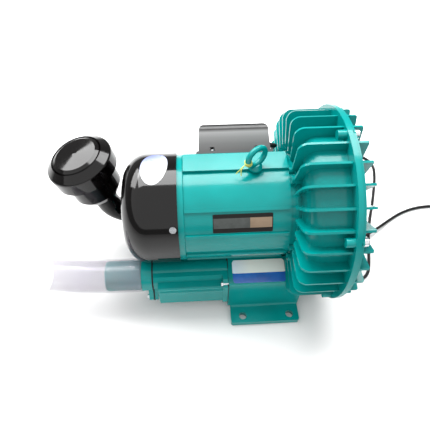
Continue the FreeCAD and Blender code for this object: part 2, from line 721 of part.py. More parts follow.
def motor_shaft():
    """Return the stepped shaft with its keyway."""
    front_shoulder = CORE_X1 + 24
    shaft = turned(
        [
            (SHAFT_REAR_X, 0),
            (SHAFT_REAR_X, FAN_SEAT_R - 1),
            (SHAFT_REAR_X + 1, FAN_SEAT_R),
            (REAR_BEARING_X - 20, FAN_SEAT_R),
            (REAR_BEARING_X - 20, SHAFT_R - FIT),
            (REAR_BEARING_X + BEARING_W, SHAFT_R - FIT),
            (REAR_BEARING_X + BEARING_W, CORE_SEAT_R),
            (front_shoulder, CORE_SEAT_R),
            (front_shoulder, SHAFT_R - FIT),
            (FRONT_BEARING_X + BEARING_W, SHAFT_R - FIT),
            (FRONT_BEARING_X + BEARING_W, IMPELLER_SEAT_R),
            (FRONT_CHANNEL_X - RUN - 2, IMPELLER_SEAT_R),
            (FRONT_CHANNEL_X - RUN - 2, THREAD_R),
            (SHAFT_FRONT_X - 1, THREAD_R),
            (SHAFT_FRONT_X, THREAD_R - 1),
            (SHAFT_FRONT_X, 0),
        ]
    )
    x0 = REAR_CHANNEL_X + RUN + 3
    keyway = box(x0 - FIT, x0 + KEY_L + FIT, -KEY_W / 2, KEY_W / 2, AXIS_Z + 8.2, AXIS_Z + 20)
    groove = ring_x(FAN_SEAT_R + 1, FAN_SEAT_R - 1, FAN_X0 - 1.6, FAN_X0 - 0.2)
    return shaft.cut([keyway, groove])


def rotor_core():
    """Return the laminated rotor pack with its end rings."""
    pack = ring_x(STATOR_BORE_R - AIR_GAP, CORE_SEAT_R + FIT / 2, CORE_X0, CORE_X1)
    ends = [ring_x(END_RING_OUT, END_RING_IN, x - 7, x + 7) for x in (CORE_X0, CORE_X1)]
    return pack.fuse(ends)


def stator_core():
    """Return the laminated stator pack with its slots."""
    pack = ring_x(BARREL_R - BARREL_WALL - FIT, STATOR_BORE_R, CORE_X0, CORE_X1)
    slot = box(CORE_X0 - 1, CORE_X1 + 1, -SLOT_OUT, -STATOR_BORE_R - 1.5, AXIS_Z - 3.2, AXIS_Z + 3.2)
    mouth = box(CORE_X0 - 1, CORE_X1 + 1, -WINDING_IN, -STATOR_BORE_R + 2, AXIS_Z - 1.2, AXIS_Z + 1.2)
    return pack.cut(pattern(slot.fuse(mouth), 24, 0))


def stator_windings():
    """Return the two rounded end turns of the winding."""
    turns = []
    for x0 in (CORE_X0 - WINDING_L, CORE_X1):
        profile = [
            (x0, WINDING_IN),
            (x0, WINDING_OUT),
            (x0 + WINDING_L, WINDING_OUT),
            (x0 + WINDING_L, WINDING_IN),
        ]
        turns.append(turned(profile, {0: 6.0, 1: 6.0, 2: 6.0, 3: 6.0}))
    return group(turns)


def bearing(x0):
    """Return the outer ring, the inner ring and the caged balls of one bearing."""
    x1 = x0 + BEARING_W
    middle = (x0 + x1) / 2
    groove_r = BALL_R + FIT
    path = Part.makeTorus(BALL_PATH_R, groove_r, Vector(middle, 0, AXIS_Z), X_AXIS)
    outer = ring_x(BEARING_R, BALL_PATH_R + 2.6, x0, x1).cut(path)
    inner = ring_x(BALL_PATH_R - 2.6, SHAFT_R, x0, x1).cut(path)
    ball = Part.makeSphere(BALL_R, Vector(middle, -BALL_PATH_R, AXIS_Z))
    balls = pattern(ball, BALLS, 10)
    pocket = Part.makeSphere(BALL_R + 0.15, Vector(middle, -BALL_PATH_R, AXIS_Z))
    cage = ring_x(BALL_PATH_R + 1.0, BALL_PATH_R - 1.0, middle - 5.4, middle + 5.4).cut(pattern(pocket, BALLS, 10))
    return outer, inner, group([cage] + balls)


def shaft_seal():
    """Return the lip seal in the housing's rear wall."""
    lip = CORE_SEAT_R + FIT
    return turned(
        [
            (SEAL_X, lip + 1.5),
            (SEAL_X, SEAL_R),
            (SEAL_X + SEAL_T, SEAL_R),
            (SEAL_X + SEAL_T, SEAL_R - 3),
            (SEAL_X + 2.5, SEAL_R - 3),
            (SEAL_X + 2.5, lip + 2.5),
            (SEAL_X + SEAL_T - 2, lip + 1.2),
            (SEAL_X + SEAL_T - 2.6, lip),
        ]
    )


def front_end_shield():
    """Return the drive-end shield with its bearing seat and four ears."""
    pocket = BEARING_R + FIT / 2
    front = BARREL_FRONT_X + SHIELD_T
    disc = turned(
        [
            (FRONT_BEARING_X, pocket),
            (FRONT_BEARING_X, pocket + 7),
            (BARREL_FRONT_X, pocket + 9),
            (BARREL_FRONT_X, BARREL_R - BARREL_WALL - 5),
            (BARREL_FRONT_X - 6, BARREL_R - BARREL_WALL - 5),
            (BARREL_FRONT_X - 6, BARREL_R - BARREL_WALL - FIT),
            (BARREL_FRONT_X, BARREL_R - BARREL_WALL - FIT),
            (BARREL_FRONT_X, BARREL_R - 2),
            (front, BARREL_R - 2),
            (front, MOTOR_HOLLOW_IN + SHIELD_SPIGOT),
            (BACK_X, 38),
            (BACK_X, CORE_SEAT_R + 1),
            (FRONT_BEARING_X + BEARING_W, CORE_SEAT_R + 1),
            (FRONT_BEARING_X + BEARING_W, pocket),
        ]
    )
    lug = at_front(EAR_R, front - LUG_T, front, MOTOR_BOLT_R)
    neck = box(front - LUG_T, front, -MOTOR_BOLT_R, -BARREL_R + 10, AXIS_Z - EAR_R, AXIS_Z + EAR_R)
    body = disc.fuse(pattern(lug.fuse(neck), 4, MOTOR_BOLT_A))
    body = body.fuse(pattern(at_front(TIE_BOSS_R, BARREL_FRONT_X, front, BARREL_R), 4, TIE_BOSS_A))
    hole = at_front(MOTOR_BOLT_D / 2 + SEAT, front - LUG_T - 1, front + 1, MOTOR_BOLT_R)
    return body.cut(pattern(hole, 4, MOTOR_BOLT_A))


def motor_bolts():
    """Return the four screws that hold the motor on the housing, heads towards the barrel."""
    head_x = BARREL_FRONT_X + SHIELD_T - LUG_T
    head = at_front(HEAD_R, head_x - 5, head_x, MOTOR_BOLT_R)
    shank = at_front(MOTOR_BOLT_D / 2 - FIT, head_x - 1, BACK_X + 10, MOTOR_BOLT_R)
    socket = hexagon_x(3.4, head_x - 6, head_x - 2.5, -MOTOR_BOLT_R, AXIS_Z)
    return group(pattern(head.fuse(shank).cut(socket), 4, MOTOR_BOLT_A))


def rear_end_shield():
    """Return the rear shield: visible rim, bearing seat and spigot for the cowl."""
    pocket = BEARING_R + FIT / 2
    rim_x = COWL_FRONT_X
    return turned(
        [
            (REAR_BEARING_X - 3, SHAFT_R + 2),
            (REAR_BEARING_X - 3, pocket + 6),
            (BARREL_REAR_X - 1, (pocket + BARREL_R) / 2 + 9),
            (rim_x + 1, BARREL_R - 6),
            (COWL_SCREW_X - 6, BARREL_R - 5),
            (COWL_SCREW_X - 6, COWL_R - COWL_WALL - SEAT),
            (rim_x, COWL_R - COWL_WALL - SEAT),
            (rim_x, REAR_RIM_R),
            (BARREL_REAR_X, REAR_RIM_R),
            (BARREL_REAR_X, BARREL_R - BARREL_WALL - FIT),
            (BARREL_REAR_X + 6, BARREL_R - BARREL_WALL - FIT),
            (BARREL_REAR_X + 6, BARREL_R - BARREL_WALL - 5),
            (REAR_BEARING_X + 2, pocket + 8),
            (REAR_BEARING_X + BEARING_W, pocket + 7),
            (REAR_BEARING_X + BEARING_W, pocket),
            (REAR_BEARING_X, pocket),
            (REAR_BEARING_X, SHAFT_R + 2),
        ],
        {8: 2.0},
    ).cut(pattern(cowl_screw_shape(0.3), COWL_SCREWS, COWL_SCREW_A))


def cowl_screw_shape(room=0.0):
    """Return one radial screw of the cowl, drawn at the front, or the hole for it."""
    start = Vector(COWL_SCREW_X, -COWL_R - COWL_HEAD_H, AXIS_Z)
    inward = Vector(0, 1, 0)
    head = Part.makeCylinder(COWL_HEAD_R, COWL_HEAD_H, start, inward)
    shank = Part.makeCylinder(2.0 + room, 11, start + inward * 2, inward)
    if room:
        return shank
    reach = COWL_HEAD_R * 0.7
    top = -COWL_R - COWL_HEAD_H - 1
    deep = -COWL_R - COWL_HEAD_H / 2
    slot = box(COWL_SCREW_X - reach, COWL_SCREW_X + reach, top, deep, AXIS_Z - 0.6, AXIS_Z + 0.6)
    cross = box(COWL_SCREW_X - 0.6, COWL_SCREW_X + 0.6, top, deep, AXIS_Z - reach, AXIS_Z + reach)
    return head.fuse(shank).cut([slot, cross])


def cowl_screws():
    """Return the three cross-head screws of the cowl."""
    return group(pattern(cowl_screw_shape(), COWL_SCREWS, COWL_SCREW_A))


def motor_barrel():
    """Return the barrel with its long ribs and the saddle for the eye bolt and the box."""
    tube = rod_x(BARREL_R, BARREL_REAR_X, BARREL_FRONT_X)
    rib = box(BARREL_REAR_X, BARREL_FRONT_X - RIB_SHORT, -BARREL_R - RIB_H, -BARREL_R + 2,
              AXIS_Z - RIB_W / 2, AXIS_Z + RIB_W / 2)
    ribs = [around(rib, a) for a in RIB_ANGLES]
    seat = BOX_P / math.sqrt(2)
    half = BOX_HALF / math.sqrt(2)
    saddle = section_x(
        [
            (PAD_FRONT_Y, BARREL_R - 12),
            (PAD_FRONT_Y, PAD_Z),
            (seat - half, PAD_Z),
            (seat - half, seat + half),
            (seat + half, seat - half),
            (BARREL_R - 18, seat - half - 4),
        ],
        BARREL_REAR_X,
        BARREL_FRONT_X,
    )
    hollow = rod_x(BARREL_R - BARREL_WALL, BARREL_REAR_X - 1, BARREL_FRONT_X + 1)
    thread = rod_z(EYE_THREAD_R, AXIS_Z + PAD_Z - EYE_THREAD_L - 0.6, AXIS_Z + PAD_Z + 1, EYE_X, 0)
    wires = seated(rod_z(9.0, AXIS_Z + 70, AXIS_Z + 110, (BOX_X0 + BOX_X1) / 2, 0))
    pilots = [seated(s) for s in box_screw_shapes(FIT)]
    return tube.fuse(ribs + [saddle]).cut([hollow, thread, wires] + pilots)


def eye_bolt():
    """Return the lifting eye: shank, collar and round ring."""
    base = AXIS_Z + PAD_Z
    shank = rod_z(EYE_THREAD_R - FIT, base - EYE_THREAD_L, base + 1, EYE_X, 0)
    collar = turned_z(
        [(0, base), (EYE_COLLAR_R, base), (EYE_COLLAR_R, base + EYE_COLLAR_H - 2), (6.5, base + EYE_COLLAR_H + 4),
         (0, base + EYE_COLLAR_H + 4)],
        EYE_X,
        0,
    )
    facing = Rotation(Z_AXIS, EYE_TURN).multVec(Vector(0, 1, 0))
    ring = Part.makeTorus(EYE_RING_R, EYE_WIRE_R, Vector(EYE_X, 0, base + EYE_CENTRE_H), facing)
    return shank.fuse([collar, ring])


def fan_cowl():
    """Return the domed fan cowl with its grille."""
    inner_r = COWL_R - COWL_WALL
    outside = turned(
        [(COWL_FRONT_X, 0), (COWL_FRONT_X, COWL_R), (COWL_REAR_X, COWL_R), (COWL_REAR_X, 0)],
        {2: COWL_CORNER},
    )
    inside = turned(
        [
            (COWL_FRONT_X + 1, 0),
            (COWL_FRONT_X + 1, inner_r),
            (COWL_REAR_X + COWL_WALL, inner_r),
            (COWL_REAR_X + COWL_WALL, 0),
        ],
        {2: COWL_CORNER - COWL_WALL},
    )
    shell = outside.cut(inside)
    bars = []
    for i in range(GRILLE_BARS):
        bar = box(COWL_REAR_X - 1, COWL_REAR_X + 8, -GRILLE_R - 1, -8, AXIS_Z - GRILLE_BAR_W / 2,
                  AXIS_Z + GRILLE_BAR_W / 2)
        bars.append(around(bar, 360.0 * i / GRILLE_BARS))
    slots = []
    radius = GRILLE_R
    while radius - GRILLE_PITCH > 8:
        slots.append(ring_x(radius, radius - GRILLE_PITCH + GRILLE_RING_W, COWL_REAR_X - 1, COWL_REAR_X + 6))
        radius -= GRILLE_PITCH
    slots = [slot.cut(bars) for slot in slots]
    holes = pattern(cowl_screw_shape(0.3), COWL_SCREWS, COWL_SCREW_A)
    return shell.cut(slots + holes)


def cooling_fan():
    """Return the moulded fan: hub, back plate and radial blades."""
    hub = ring_x(FAN_HUB_R, FAN_SEAT_R + FIT, FAN_X0, FAN_X1)
    plate = ring_x(FAN_R - 12, FAN_SEAT_R + 4, FAN_X1 - 4, FAN_X1 - 1)
    points = [
        Vector(FAN_X1 - 2, -FAN_HUB_R + 2, AXIS_Z),
        Vector(FAN_X1 - 2, -FAN_R, AXIS_Z),
        Vector(FAN_X0 + 8, -FAN_R, AXIS_Z),
        Vector(FAN_X0 + 2, -FAN_R + 20, AXIS_Z),
        Vector(FAN_X0 + 2, -FAN_HUB_R + 2, AXIS_Z),
    ]
    blade = prism(points, Vector(0, 0, FAN_BLADE_T), {2: 4.0})
    blade.translate(Vector(0, 0, -FAN_BLADE_T / 2))
    return hub.fuse([plate] + pattern(blade, FAN_BLADES, 15))


def fan_ring():
    """Return the retaining ring that keeps the fan on the shaft."""
    x0 = FAN_X0 - 1.5
    ring = ring_x(FAN_SEAT_R + 3, FAN_SEAT_R - 1 + FIT, x0, x0 + 1.2)
    return ring.cut(box(x0 - 1, x0 + 3, -4, 4, AXIS_Z, AXIS_Z + 20))


def box_outline(base_half, top_half, p0, p1, x0, x1, corner):
    """Return a tapered block with a rounded outer face, drawn upright over the axis."""
    section = [
        Vector(x0, -base_half, AXIS_Z + p0),
        Vector(x0, -top_half, AXIS_Z + p1),
        Vector(x0, top_half, AXIS_Z + p1),
        Vector(x0, base_half, AXIS_Z + p0),
    ]
    long_way = prism(section, Vector(x1 - x0, 0, 0), {1: corner + 4, 2: corner + 4})
    side = [
        Vector(x0, -base_half - 1, AXIS_Z + p0),
        Vector(x0 + BOX_DRAFT / 2, -base_half - 1, AXIS_Z + p1),
        Vector(x1 - BOX_DRAFT, -base_half - 1, AXIS_Z + p1),
        Vector(x1, -base_half - 1, AXIS_Z + p0),
    ]
    cross_way = prism(side, Vector(0, 2 * base_half + 2, 0), {1: corner, 2: corner})
    return long_way.common(cross_way)


def terminal_box_base():
    """Return the flat base of the box with its flange."""
    plate = box(BOX_X0 - BOX_RIM, BOX_X1 + BOX_RIM, -BOX_HALF + 1, BOX_HALF - 1, AXIS_Z + BOX_P, AXIS_Z + BOX_P + BASE_T)
    hole = rod_z(9.0, AXIS_Z + BOX_P - 1, AXIS_Z + BOX_P + BASE_T + 1, (BOX_X0 + BOX_X1) / 2, 0)
    return seated(plate.cut([hole] + [s for s in box_screw_shapes(SEAT)]))


def box_screw_places():
    """Return the places of the four box screws on the flange."""
    return [(x, y) for x in (BOX_X0 + 22, BOX_X1 - 22) for y in (-BOX_HALF + 3.6, BOX_HALF - 3.6)]


def box_screw_shapes(room=0.0):
    """Return the box screws, drawn upright, or the holes for them."""
    shapes = []
    for x, y in box_screw_places():
        top = AXIS_Z + BOX_P + BASE_T
        shank = rod_z(1.6 + room, top - 9, top + 0.5, x, y)
        shapes.append(shank if room else shank.fuse(rod_z(3.2, top, top + 2.2, x, y)))
    return shapes


def terminal_box_cover():
    """Return the moulded cover over the capacitors."""
    low = BOX_P + BASE_T
    half = BOX_HALF - 4.5
    solid = box_outline(half, BOX_TOP_HALF, low, COVER_BOX_TOP, BOX_X0, BOX_X1, BOX_ROUND)
    hollow = box_outline(half - BOX_WALL, BOX_TOP_HALF - BOX_WALL, low - 0.5, COVER_BOX_TOP - BOX_WALL,
                         BOX_X0 + BOX_WALL, BOX_X1 - BOX_WALL, BOX_ROUND - BOX_WALL)
    shell = solid.cut(hollow)
    shell = shell.cut([rod_z(4.0, AXIS_Z + low, AXIS_Z + low + 6, x, y) for x, y in box_screw_places()])
    height, aside = grommet_place()
    return seated(shell.cut(rod_x(GROMMET_R + FIT, BOX_X1 - 6, BOX_X1 + 6, aside, AXIS_Z + height)))


def terminal_box_screws():
    """Return the four screws of the box."""
    return group([seated(s) for s in box_screw_shapes()])


def capacitors():
    """Return the start and run capacitors."""
    cans = []
    z = AXIS_Z + BOX_P + BASE_T + CAP_R + SEAT
    for y in (-CAP_R - 1.5, CAP_R + 1.5):
        x0 = BOX_X0 + BOX_WALL + 3
        can = rod_x(CAP_R, x0, x0 + CAP_L, y, z)
        tab = box(x0 + CAP_L - 1, x0 + CAP_L + 6, y - 3, y + 3, z - 0.5, z + 0.5)
        cans.append(seated(can.fuse(tab)))
    return group(cans)


def terminal_block():
    """Return the terminal block on the box's base."""
    x0 = BOX_X1 - 22
    z0 = AXIS_Z + BOX_P + BASE_T
    body = box(x0, x0 + 12, 0, BOX_HALF - 12, z0, z0 + 12)
    slots = [box(x0 - 1, x0 + 13, y - 1, y + 1, z0 + 5, z0 + 13) for y in (7.5, 15, 22.5)]
    return seated(body.cut(slots))


def grommet_place():
    """Return the height over the axis and the sideways place of the lead's hole, on the box drawn upright."""
    y = LEAD_WALL[1]
    z = LEAD_WALL[2] - AXIS_Z
    return (y + z) / math.sqrt(2), (y - z) / math.sqrt(2)


def lead_grommet():
    """Return the rubber grommet in the end wall of the box."""
    y, z = LEAD_WALL[1], LEAD_WALL[2]
    wall = BOX_X1 - BOX_WALL
    body = rod_x(GROMMET_R, wall - 2.8, BOX_X1 + 1.2, y, z)
    body = body.fuse(rod_x(GROMMET_R + 1, wall - 2.8, wall - 1.5, y, z))
    body = body.fuse(rod_x(GROMMET_R + 1, BOX_X1, BOX_X1 + 1.2, y, z))
    return body.cut(swept(route_path(LEAD_ROUTE[:3]), LEAD_R + FIT))


def silencer_section():
    """Return the (y, z) section of the outlet silencer: a tube over a ledged box."""
    tube = rod_x(SIL_TUBE_R, SIL_X0, BLOCK_X0 - GASKET_T, -PORT_Y, AXIS_Z - PORT_DROP)
    trunk = section_x(
        [
            (-BLOCK_FRONT, SIL_BOTTOM_Z + 4),
            (-BLOCK_FRONT, SIL_LEDGE_Z),
            (-SIL_LEDGE_Y, SIL_LEDGE_Z + 1.5),
            (-SIL_LEDGE_Y + 5, -PORT_DROP + 14),
            (-SIL_BACK_Y, -PORT_DROP - 4),
            (-SIL_BACK_Y, SIL_BOTTOM_Z),
            (-BLOCK_FRONT + 6, SIL_BOTTOM_Z),
        ],
        SIL_X0 + 9,
        BLOCK_X0 - GASKET_T,
        {1: 3.0},
    )
    return tube.fuse(trunk)


def silencer_body():
    """Return the cast outlet silencer, on the front side."""
    x1 = BLOCK_X0 - GASKET_T
    flange = section_x(
        [
            (-SIL_FLANGE_FRONT, SIL_FLANGE_BOTTOM_Z + 4),
            (-SIL_FLANGE_FRONT, SIL_LEDGE_Z + 2),
            (-SIL_LEDGE_Y - 6, BLOCK_TOP_Z - 4),
            (-BLOCK_TOP_Y, BLOCK_TOP_Z - 2),
            (-SIL_BACK_Y + 8, BLOCK_TOP_Z - 16),
            (-SIL_BACK_Y + 8, SIL_FLANGE_BOTTOM_Z),
            (-SIL_FLANGE_FRONT + 4, SIL_FLANGE_BOTTOM_Z),
        ],
        x1 - SIL_FLANGE_T,
        x1,
        {1: 3.0, 2: 4.0},
    )
    top_rail = section_x(
        [
            (-SIL_LEDGE_Y, BLOCK_TOP_Z - 10),
            (-SIL_LEDGE_Y + 4, BLOCK_TOP_Z - 4),
            (-BLOCK_TOP_Y - 4, BLOCK_TOP_Z - 1),
            (-BLOCK_TOP_Y - 4, BLOCK_TOP_Z - 12),
        ],
        SIL_X0 + 2,
        x1,
    )
    bead = section_x(
        [
            (-BLOCK_FRONT + 1, SIL_LEDGE_Z - 7),
            (-BLOCK_FRONT - 2, SIL_LEDGE_Z - 9),
            (-BLOCK_FRONT - 2, SIL_LEDGE_Z - 12),
            (-BLOCK_FRONT + 1, SIL_LEDGE_Z - 14),
        ],
        SIL_X0 + 12,
        x1 - 2,
    )
    end = flange_plate(SIL_X0, SIL_X0 + SIL_END_T, -PORT_Y, SIL_TUBE_R)
    body = silencer_section().fuse([flange, top_rail, bead, end])
    chamber = rod_x(SIL_TUBE_R - SIL_WALL, SIL_X0 + SIL_END_T, x1 + 1, -PORT_Y, AXIS_Z - PORT_DROP)
    mouth = rod_x(PORT_BORE_R, SIL_X0 - 1, SIL_X0 + SIL_END_T + 1, -PORT_Y, AXIS_Z - PORT_DROP)
    lower = section_x(
        [
            (-BLOCK_FRONT + SIL_WALL, SIL_BOTTOM_Z + SIL_WALL),
            (-BLOCK_FRONT + SIL_WALL, SIL_LEDGE_Z - SIL_WALL),
            (-PORT_Y, SIL_LEDGE_Z - SIL_WALL - 8),
            (-SIL_BACK_Y - SIL_WALL, -PORT_DROP - 12),
            (-SIL_BACK_Y - SIL_WALL, SIL_BOTTOM_Z + SIL_WALL),
        ],
        SIL_X0 + 16,
        x1 - SIL_FLANGE_T,
    )
    screws = [rod_x(2.6, x1 - 12, x1 + 1, y, AXIS_Z + z) for y, z in silencer_screw_places()]
    end_screws = [rod_x(2.6, SIL_X0 - 1, SIL_X0 + SIL_END_T - 1.5, y, z) for y, z in lug_places(-PORT_Y)]
    return body.cut([chamber, mouth, lower] + screws + end_screws)


def silencer_screw_places():
    """Return where the silencer's screws pass its flange, as y and height from the axis."""
    return [(-y, z) for y, z in SIL_SCREWS]


def lug_places(centre_y):
    """Return where the two screws of a port flange sit."""
    places = []
    for a in LUG_ANGLES:
        side = 1 if centre_y < 0 else -1
        y = centre_y + side * LUG_R * math.cos(math.radians(a))
        places.append((y, AXIS_Z - PORT_DROP + LUG_R * math.sin(math.radians(a))))
    return places


def flange_plate(x0, x1, centre_y, radius):
    """Return a round plate with two screw lugs."""
    plate = rod_x(radius, x0, x1, centre_y, AXIS_Z - PORT_DROP)
    lugs = []
    for y, z in lug_places(centre_y):
        lugs.append(rod_x(LUG_ROUND, x0, x1, y, z))
        outward = Vector(0, y - centre_y, z - AXIS_Z + PORT_DROP).normalize()
        across = Vector(0, -outward.z, outward.y) * LUG_ROUND
        lug = Vector(x0, y, z)
        inner = Vector(x0, centre_y, AXIS_Z - PORT_DROP) + outward * (radius * 0.6)
        corners = [inner - across * 2.2, lug - across, lug + across, inner + across * 2.2]
        lugs.append(prism(corners, Vector(x1 - x0, 0, 0)))
    return plate.fuse(lugs)


def port_flange(nipple_x0):
    """Return a port flange with its collar and nipple, on the front side."""
    x1 = SIL_X0 - GASKET_T
    z = AXIS_Z - PORT_DROP
    plate = flange_plate(PLATE_X0, x1, -PORT_Y, PLATE_R)
    collar = Part.makeCylinder(COLLAR_R - 2, PLATE_X0 + 1 - COLLAR_X0, Vector(COLLAR_X0, -PORT_Y, z), X_AXIS)
    neck = rod_x(NIPPLE_R, nipple_x0 + 3, COLLAR_X0 + 1, -PORT_Y, z)
    tip = Part.makeCone(NIPPLE_R - 1.5, NIPPLE_R, 3, Vector(nipple_x0, -PORT_Y, z), X_AXIS)
    body = plate.fuse([collar, neck, tip])
    screws = [rod_x(2.9, PLATE_X0 - 1, x1 + 1, y, z1) for y, z1 in lug_places(-PORT_Y)]
    return body.cut([rod_x(NIPPLE_BORE_R, nipple_x0 - 1, x1 + 1, -PORT_Y, z)] + screws)


def port_gasket():
    """Return the gasket under the outlet flange."""
    x0 = SIL_X0 - GASKET_T
    plate = flange_plate(x0, SIL_X0, -PORT_Y, PLATE_R - 0.5)
    screws = [rod_x(2.9, x0 - 1, SIL_X0 + 1, y, z) for y, z in lug_places(-PORT_Y)]
    return plate.cut([rod_x(PORT_BORE_R, x0 - 1, SIL_X0 + 1, -PORT_Y, AXIS_Z - PORT_DROP)] + screws)


def port_screws():
    """Return the two screws of the outlet flange."""
    screws = []
    for y, z in lug_places(-PORT_Y):
        head = rod_x(4.4, PLATE_X0 - 3.4, PLATE_X0, y, z)
        shank = rod_x(2.5, PLATE_X0 - 1, SIL_X0 + SIL_END_T - 2, y, z)
        screws.append(head.fuse(shank).cut(box(PLATE_X0 - 4, PLATE_X0 - 2.2, y - 3, y + 3, z - 0.6, z + 0.6)))
    return group(screws)


def silencer_gasket():
    """Return the gasket between port block and silencer."""
    x0 = BLOCK_X0 - GASKET_T
    plate = section_x(
        [
            (-BLOCK_FRONT + 1, SIL_FLANGE_BOTTOM_Z + 1),
            (-BLOCK_FRONT + 1, BLOCK_EDGE_Z - 3),
            (-BLOCK_TOP_Y - 2, BLOCK_TOP_Z - 3),
            (-SIL_BACK_Y + 8, BLOCK_TOP_Z - 16),
            (-SIL_BACK_Y + 8, SIL_FLANGE_BOTTOM_Z + 1),
        ],
        x0,
        BLOCK_X0,
    )
    holes = [rod_x(2.6, x0 - 1, BLOCK_X0 + 1, y, AXIS_Z + z) for y, z in silencer_screw_places()]
    return plate.cut([rod_x(PORT_BORE_R, x0 - 1, BLOCK_X0 + 1, -PORT_Y, AXIS_Z - PORT_DROP)] + holes)


def silencer_screws():
    """Return the screws that hold the silencer on the port block."""
    seat = BLOCK_X0 - GASKET_T - SIL_FLANGE_T
    screws = []
    for y, z in silencer_screw_places():
        head = rod_x(3.9, seat - 3.2, seat, y, AXIS_Z + z)
        screws.append(head.fuse(rod_x(SCREW_R, seat - 1, BLOCK_X0 + 12, y, AXIS_Z + z)))
    return group(screws)


def silencer_foam():
    """Return the foam sleeve that lines the silencer."""
    radius = SIL_TUBE_R - SIL_WALL - SEAT
    return ring_x(radius, radius - FOAM_T, SIL_X0 + SIL_END_T + 2, BLOCK_X0 - 4, -PORT_Y, AXIS_Z - PORT_DROP)


def route_path(points):
    """Return the wire of a cord: straight runs joined by tangent arcs, and print its radii."""
    points = [Vector(*p) for p in points]
    edges = []
    start = points[0]
    radii = []
    for i in range(1, len(points) - 1):
        back = points[i - 1] - points[i]
        ahead = points[i + 1] - points[i]
        half = back.getAngle(ahead) / 2
        reach = 0.45 * min(back.Length, ahead.Length)
        radius = reach * math.tan(half)
        radii.append(round(radius))
        first = points[i] + back.normalize() * reach
        last = points[i] + ahead.normalize() * reach
        middle = (first + last) / 2 - points[i]
        to_centre = middle.normalize()
        via = points[i] + to_centre * (radius / math.sin(half) - radius)
        edges.append(Part.LineSegment(start, first).toShape())
        edges.append(Part.Arc(first, via, last).toShape())
        start = last
    edges.append(Part.LineSegment(start, points[-1]).toShape())
    print("route radii", radii)
    return Part.Wire(edges)


def swept(path, radius):
    """Sweep a round section along a route and print how its volume compares with section times length."""
    start = path.Edges[0].valueAt(path.Edges[0].FirstParameter)
    along = path.Edges[0].tangentAt(path.Edges[0].FirstParameter)
    circle = Part.Wire([Part.makeCircle(radius, start, along)])
    tube = path.makePipeShell([circle], True, False)
    ratio = tube.Volume / (math.pi * radius * radius * path.Length)
    print("tube length", round(path.Length, 1), "volume ratio", round(ratio, 4))
    return tube


def outlet_hose():
    """Return the free hose, pushed over the nipple up to the collar."""
    path = route_path(HOSE_ROUTE)
    return swept(path, HOSE_R).cut(swept(path, HOSE_BORE_R))


def mains_lead():
    """Return the stretch of the lead that isn't coiled."""
    return swept(route_path(LEAD_ROUTE), LEAD_R)


def lead_coil():
    """Return the outer shape of the put-away coil."""
    x, y = COIL_CENTRE
    outer = rod_z(COIL_R + COIL_HALF_W, 0.1, COIL_H, x, y)
    return outer.cut(rod_z(COIL_R - COIL_HALF_W, -1, COIL_H + 1, x, y))


def mains_plug():
    """Return the two-pin plug that lies on the coil, pins to the front and its lead coming from behind."""
    x, y, z = PLUG_BASE
    nose = PLUG_L / 2 + PLUG_NOSE_L
    shoulder = PLUG_L / 2 - PLUG_NOSE_L
    points = [
        Vector(x - PLUG_W / 2, y - PLUG_L / 2, z),
        Vector(x + PLUG_W / 2, y - PLUG_L / 2, z),
        Vector(x + PLUG_W / 2, y + shoulder, z),
        Vector(x + PLUG_NOSE_W / 2, y + nose, z),
        Vector(x - PLUG_NOSE_W / 2, y + nose, z),
        Vector(x - PLUG_W / 2, y + shoulder, z),
    ]
    rounds = {0: PLUG_ROUND, 1: PLUG_ROUND, 2: PLUG_ROUND, 5: PLUG_ROUND}
    body = prism(points, Vector(0, 0, PLUG_H), rounds)
    face = y - PLUG_L / 2
    pins = []
    for side in (-1, 1):
        foot = Vector(x + side * PIN_PITCH / 2, face + 1, z + PLUG_H / 2)
        pins.append(Part.makeCylinder(PIN_R, PIN_L + 1, foot, Vector(0, -1, 0)))
    return body.fuse(pins)


def lean(shape):
    """Lean a piece, drawn upright over the elbow, away from the motor about the centre of the elbow's bend."""
    copy = shape.copy()
    copy.rotate(BEND_CENTRE, Y_AXIS, -FILTER_LEAN)
    return copy


def lean_point(point):
    """Lean one point in the same way."""
    return BEND_CENTRE + Rotation(Y_AXIS, -FILTER_LEAN).multVec(point - BEND_CENTRE)


def elbow_path():
    """Return the centreline of the elbow: level, a bend, and up to the filter."""
    z = AXIS_Z - PORT_DROP
    entry = Vector(ELBOW_SOCKET_X0 + 6, PORT_Y, z)
    level_end = Vector(BEND_CENTRE.x, PORT_Y, z)
    half = math.radians((90 - FILTER_LEAN) / 2)
    via = BEND_CENTRE + Vector(-math.sin(half), 0, -math.cos(half)) * ELBOW_BEND
    rise_start = lean_point(Vector(FILTER_X, PORT_Y, z + ELBOW_BEND))
    exit_point = lean_point(Vector(FILTER_X, PORT_Y, AXIS_Z + FILTER_FLOOR_Z))
    return Part.Wire([
        Part.LineSegment(entry, level_end).toShape(),
        Part.Arc(level_end, via, rise_start).toShape(),
        Part.LineSegment(rise_start, exit_point).toShape(),
    ])


